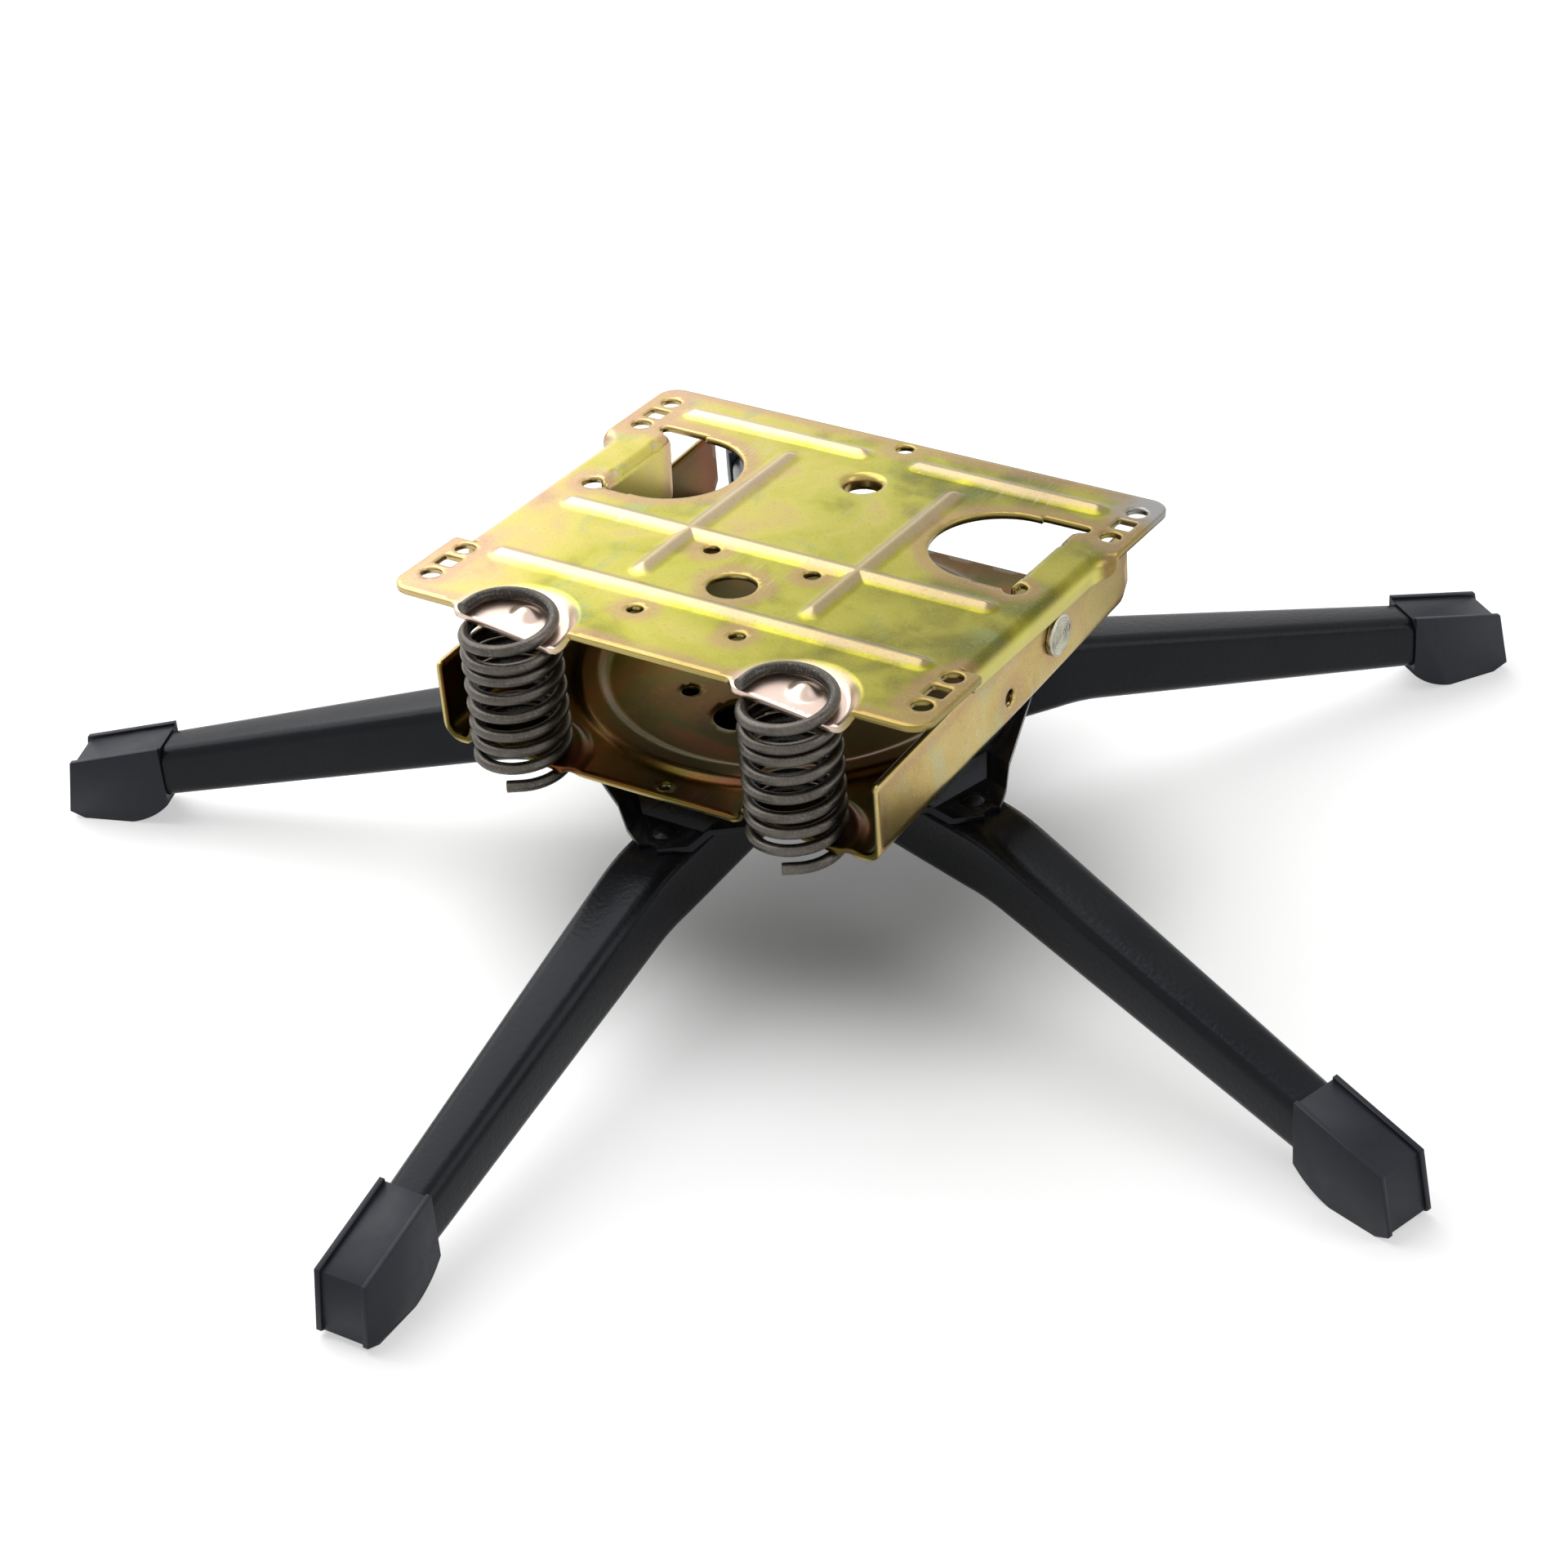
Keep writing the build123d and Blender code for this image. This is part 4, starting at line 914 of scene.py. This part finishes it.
def black_coat():
    """Semi-gloss powder coat with a fine orange peel."""
    p = Paint("black_powder_coat", Specular_IOR_Level=0.15, Specular_Tint=(0.88, 0.92, 1, 1))
    peel = p.noise(520, 2, 0.45)
    broad = p.noise(24, 4, 0.6)
    colour = p.ramp(broad, (0.3, (0.0072, 0.0077, 0.0095)), (0.7, (0.0125, 0.013, 0.0155)))
    dust = p.step(p.noise(1500, 2, 0.7), 0.7, 0.78, 0, 0.2)
    colour = p.mixed(dust, colour, (0.07, 0.07, 0.08))
    p.bump(peel, 0.00022, 0.5)
    return p.finish(Base_Color=colour, Roughness=p.step(broad, 0.3, 0.8, 0.22, 0.32))


def black_plastic():
    """Moulded plastic with a faint grain and rubbed corners."""
    p = Paint("black_cap_plastic", Specular_IOR_Level=0.28, Specular_Tint=(0.88, 0.92, 1, 1))
    grain = p.noise(1900, 2, 0.5)
    rub = p.noise(90, 5, 0.7)
    colour = p.ramp(rub, (0.35, (0.01, 0.0108, 0.015)), (0.75, (0.02, 0.0215, 0.029)))
    p.bump(grain * 0.6 + p.noise(260, 3) * 0.4, 0.00008, 0.5)
    return p.finish(Base_Color=colour, Roughness=p.step(rub, 0.3, 0.8, 0.42, 0.58))


def spring_wire():
    """Dark hardened wire with an oily bloom, darkened as painted shade where it faces its own axis."""
    p = Paint("spring_wire", Metallic=1.0)
    bloom = p.noise(70, 5, 0.6)
    browns = (0.3, (0.066, 0.058, 0.049)), (0.55, (0.104, 0.093, 0.081)), (0.8, (0.145, 0.132, 0.117))
    colour = p.ramp(bloom, *browns)
    # Painted shade: the side of the wire that faces the spring's axis is darkened towards near black.
    inner = p.step(from_spring_axis(p), 0.0181, 0.0164, 0, 0.8)
    colour = p.mixed(inner, colour, (0.03, 0.028, 0.025))
    grain = p.noise(1100, 3, 0.7)
    colour = p.mixed(p.step(grain, 0.5, 0.68, 0, 0.3), colour, (0.26, 0.24, 0.215))
    p.bump(grain, 0.00008, 0.7)
    return p.finish(Base_Color=colour, Roughness=p.step(bloom, 0.3, 0.8, 0.34, 0.46))


def rivet_steel():
    """Bright steel whose head was rolled over in rings."""
    p = Paint("formed_rivet", Metallic=1.0)
    reach = ((p.y - PIVOT_Y * MM) ** 2 + (p.z - PIVOT_Z * MM) ** 2) ** 0.5
    wave = p.node("ShaderNodeMath", {"operation": "SINE"}, reach * 5200)
    stain = p.noise(240, 4, 0.6)
    colour = p.ramp(stain, (0.3, (0.36, 0.34, 0.25)), (0.6, (0.54, 0.52, 0.42)), (0.8, (0.62, 0.6, 0.51)))
    p.bump(wave, 0.00016, 0.7)
    return p.finish(Base_Color=colour, Roughness=p.step(stain, 0.3, 0.8, 0.24, 0.4))


def plain_metal(name, dark, light, rough):
    """Plated or ground steel for the small inner pieces."""
    p = Paint(name, Metallic=1.0)
    stain = p.noise(180, 4, 0.6)
    p.bump(p.noise(900, 2), 0.00004, 0.5)
    colour = p.ramp(stain, (0.35, dark), (0.7, light))
    return p.finish(Base_Color=colour, Roughness=p.step(stain, 0.3, 0.8, rough, rough + 0.1))


def nylon():
    """Natural nylon, slightly mottled."""
    p = Paint("natural_nylon")
    mottle = p.noise(120, 4, 0.6)
    p.bump(p.noise(1200, 2), 0.00004, 0.5)
    colour = p.ramp(mottle, (0.3, (0.66, 0.63, 0.54)), (0.75, (0.78, 0.76, 0.68)))
    return p.finish(Base_Color=colour, Roughness=p.step(mottle, 0.3, 0.8, 0.4, 0.5))


# The pieces

def painted(made, material, body, slot, *nodes):
    """Finishes a piece: its material, the body it rides on where one is given, and hides the solids it stands
    for.
    """
    made.data.materials.clear()
    made.data.materials.append(material)
    if body:
        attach(made, body)
    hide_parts(*nodes)
    return made


plate_zinc, housing_zinc = plate_finish(), housing_finish()
coat, plastic, wire_steel, rivet = black_coat(), black_plastic(), spring_wire(), rivet_steel()
plated = plain_metal("plated_steel", (0.42, 0.38, 0.26), (0.6, 0.57, 0.46), 0.28)
ground = plain_metal("ground_steel", (0.5, 0.5, 0.5), (0.7, 0.7, 0.7), 0.12)
white_nylon = nylon()

painted(seat_plate(), plate_zinc, "seat", "yellow_zinc", "seat_plate")
painted(housing(), housing_zinc, "housing", "yellow_zinc", "tilt_housing")

wire_tree, turn_tree = wire_along(), round_the_axis()
for side, x in (("left", -SPRING_X), ("right", SPRING_X)):
    coil = spring("coil_spring_" + side, x, wire_tree, wire_steel)
    painted(coil, wire_steel, None, "spring_steel", "tilt_spring_" + side)
    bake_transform(coil)

leg_names = ("front", "front_right", "rear_right", "rear_left", "front_left")
legs = grown(turned(leg(), LEG_FIRST), turn_tree, Count=LEG_COUNT, Material=coat)
painted(legs, coat, "base", "black_paint", *["leg_" + n for n in leg_names])
front_cap = softened("foot_cap_front", "foot_caps", 0.7, 3)
caps = grown(front_cap, turn_tree, 50, Count=LEG_COUNT, Material=plastic)
painted(caps, plastic, "base", "black_plastic", *["foot_cap_" + n for n in leg_names])
domes = grown(turned(rivet_dome(), LEG_FIRST), turn_tree, Count=LEG_COUNT, Material=coat)
painted(domes, coat, "base", "black_paint_rivets", "hub_rivets")
painted(softened("hub_plate", "pressed_hub_plate", 1.1, 3), coat, "base", "black_paint", "hub_plate")
painted(softened("king_pin", "headed_king_pin", 0.4), plated, "base", "steel_pin", "king_pin")
painted(softened("king_washer", "plain_king_washer", 0.2), plated, "base", "steel_pin", "king_washer")
painted(softened("king_bush", "flanged_king_bush", 0.2), white_nylon, "housing", "pale_plastic", "king_bush")
for side in ("right", "left"):
    rolled = softened("pivot_rivet_" + side, "rolled_rivet_" + side, 0.45, 3)
    painted(rolled, rivet, "housing", "steel_rivet", "pivot_rivet_" + side)
    washer = softened("pivot_washer_" + side, "ear_washer_" + side, 0.2)
    painted(washer, plated, "housing", "steel_pin", "pivot_washer_" + side)
    bush = softened("pivot_bush_" + side, "ear_bush_" + side, 0.15)
    painted(bush, white_nylon, "seat", "pale_plastic", "pivot_bush_" + side)
for node, material in (("race_balls", ground), ("ball_cage", white_nylon)):
    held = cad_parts[node].data
    held.materials.clear()
    held.materials.append(material)


# Studio

def background_rays(tree):
    """1 for the rays that show the background: the camera's, and those that metal or glass sends on."""
    path = tree.nodes.new("ShaderNodeLightPath")
    total = path.outputs["Is Camera Ray"]
    for kind in ("Is Glossy Ray", "Is Transmission Ray"):
        both = tree.nodes.new("ShaderNodeMath")
        both.operation, both.use_clamp = "ADD", True
        joined(tree, total, both.inputs[0])
        joined(tree, path.outputs[kind], both.inputs[1])
        total = both.outputs[0]
    return total


def floor_finish():
    """White paper, seen lighter than it is: its glow for background rays is faint near the mechanism and
    grows away from it, so the floor round the mechanism's foot holds painted shade.
    """
    p = Paint("white_paper", Roughness=0.6)
    p.shader.inputs["Base Color"].default_value = (0.86, 0.87, 0.86, 1)
    glow = p.tree.nodes.new("ShaderNodeEmission")
    glow.inputs["Color"].default_value = (1, 1, 1, 1)
    seen = Value(p, background_rays(p.tree))
    away = (p.x ** 2 + p.y ** 2) ** 0.5
    # Painted shade: the glow is 0.02 next to the mechanism and rises to 1.1 far from it.
    camera_glow_with_painted_shade = seen * (p.step(away, 0.055, 0.18, 0.02, 0.5) + p.step(away, 0.5, 2.5, 0, 0.6))
    p.tree.links.new(camera_glow_with_painted_shade.socket, glow.inputs["Strength"])
    both = p.tree.nodes.new("ShaderNodeAddShader")
    p.tree.links.new(p.shader.outputs[0], both.inputs[0])
    p.tree.links.new(glow.outputs[0], both.inputs[1])
    p.tree.links.new(both.outputs[0], p.tree.nodes["Material Output"].inputs["Surface"])
    return p.material


def area_lamp(name, size, power, place, aim=(0, 0, 0.1)):
    """A softbox that looks at the mechanism."""
    lamp = bpy.data.lights.new(name, "AREA")
    lamp.shape, lamp.size, lamp.size_y, lamp.energy = "RECTANGLE", size[0], size[1], power
    held = bpy.data.objects.new(name, lamp)
    bpy.context.scene.collection.objects.link(held)
    held.location = place
    held.rotation_euler = (Vector(place) - Vector(aim)).to_track_quat("Z", "Y").to_euler()


FLOOR_HALF = 6000
floor_corners = [(a * FLOOR_HALF, b * FLOOR_HALF, 0) for a, b in ((-1, -1), (1, -1), (1, 1), (-1, 1))]
floor = mesh_object("paper_floor", floor_corners, [(0, 1, 2, 3)])
floor.data.materials.append(floor_finish())

world = bpy.data.worlds.new("studio")
world.use_nodes = True
sky = world.node_tree.nodes["Background"]
sky.inputs["Color"].default_value = (1, 1, 1, 1)
glow = world.node_tree.nodes.new("ShaderNodeMath")
glow.operation = "MULTIPLY_ADD"
FILL_LIGHT = 0.16
glow.inputs[1].default_value, glow.inputs[2].default_value = 1 - FILL_LIGHT, FILL_LIGHT
joined(world.node_tree, background_rays(world.node_tree), glow.inputs[0])
joined(world.node_tree, glow.outputs[0], sky.inputs["Strength"])
bpy.context.scene.world = world
area_lamp("box_above", (2.0, 2.0), 29, (-0.95, 0.2, 1.45))
area_lamp("box_behind", (2.6, 1.4), 4.6, (-1.4, 1.7, 0.72))
area_lamp("box_right", (0.8, 1.2), 5, (1.5, 0.3, 1.1))
bpy.context.scene.view_settings.view_transform = "Standard"

right, up, back = (0.8538, 0.5162, -0.068), (-0.2454, 0.5141, 0.8219), (0.4592, -0.685, 0.5656)
lens = bpy.data.cameras.new("photo_camera")
lens.lens, lens.sensor_width, lens.clip_start, lens.clip_end = 86.18, 36, 0.05, 50
camera = bpy.data.objects.new("photo_camera", lens)
bpy.context.scene.collection.objects.link(camera)
turn = Matrix((right, up, back)).transposed().to_4x4()
camera.matrix_world = Matrix.Translation((0.7003, -1.0608, 0.9117)) @ turn
bpy.context.scene.camera = camera
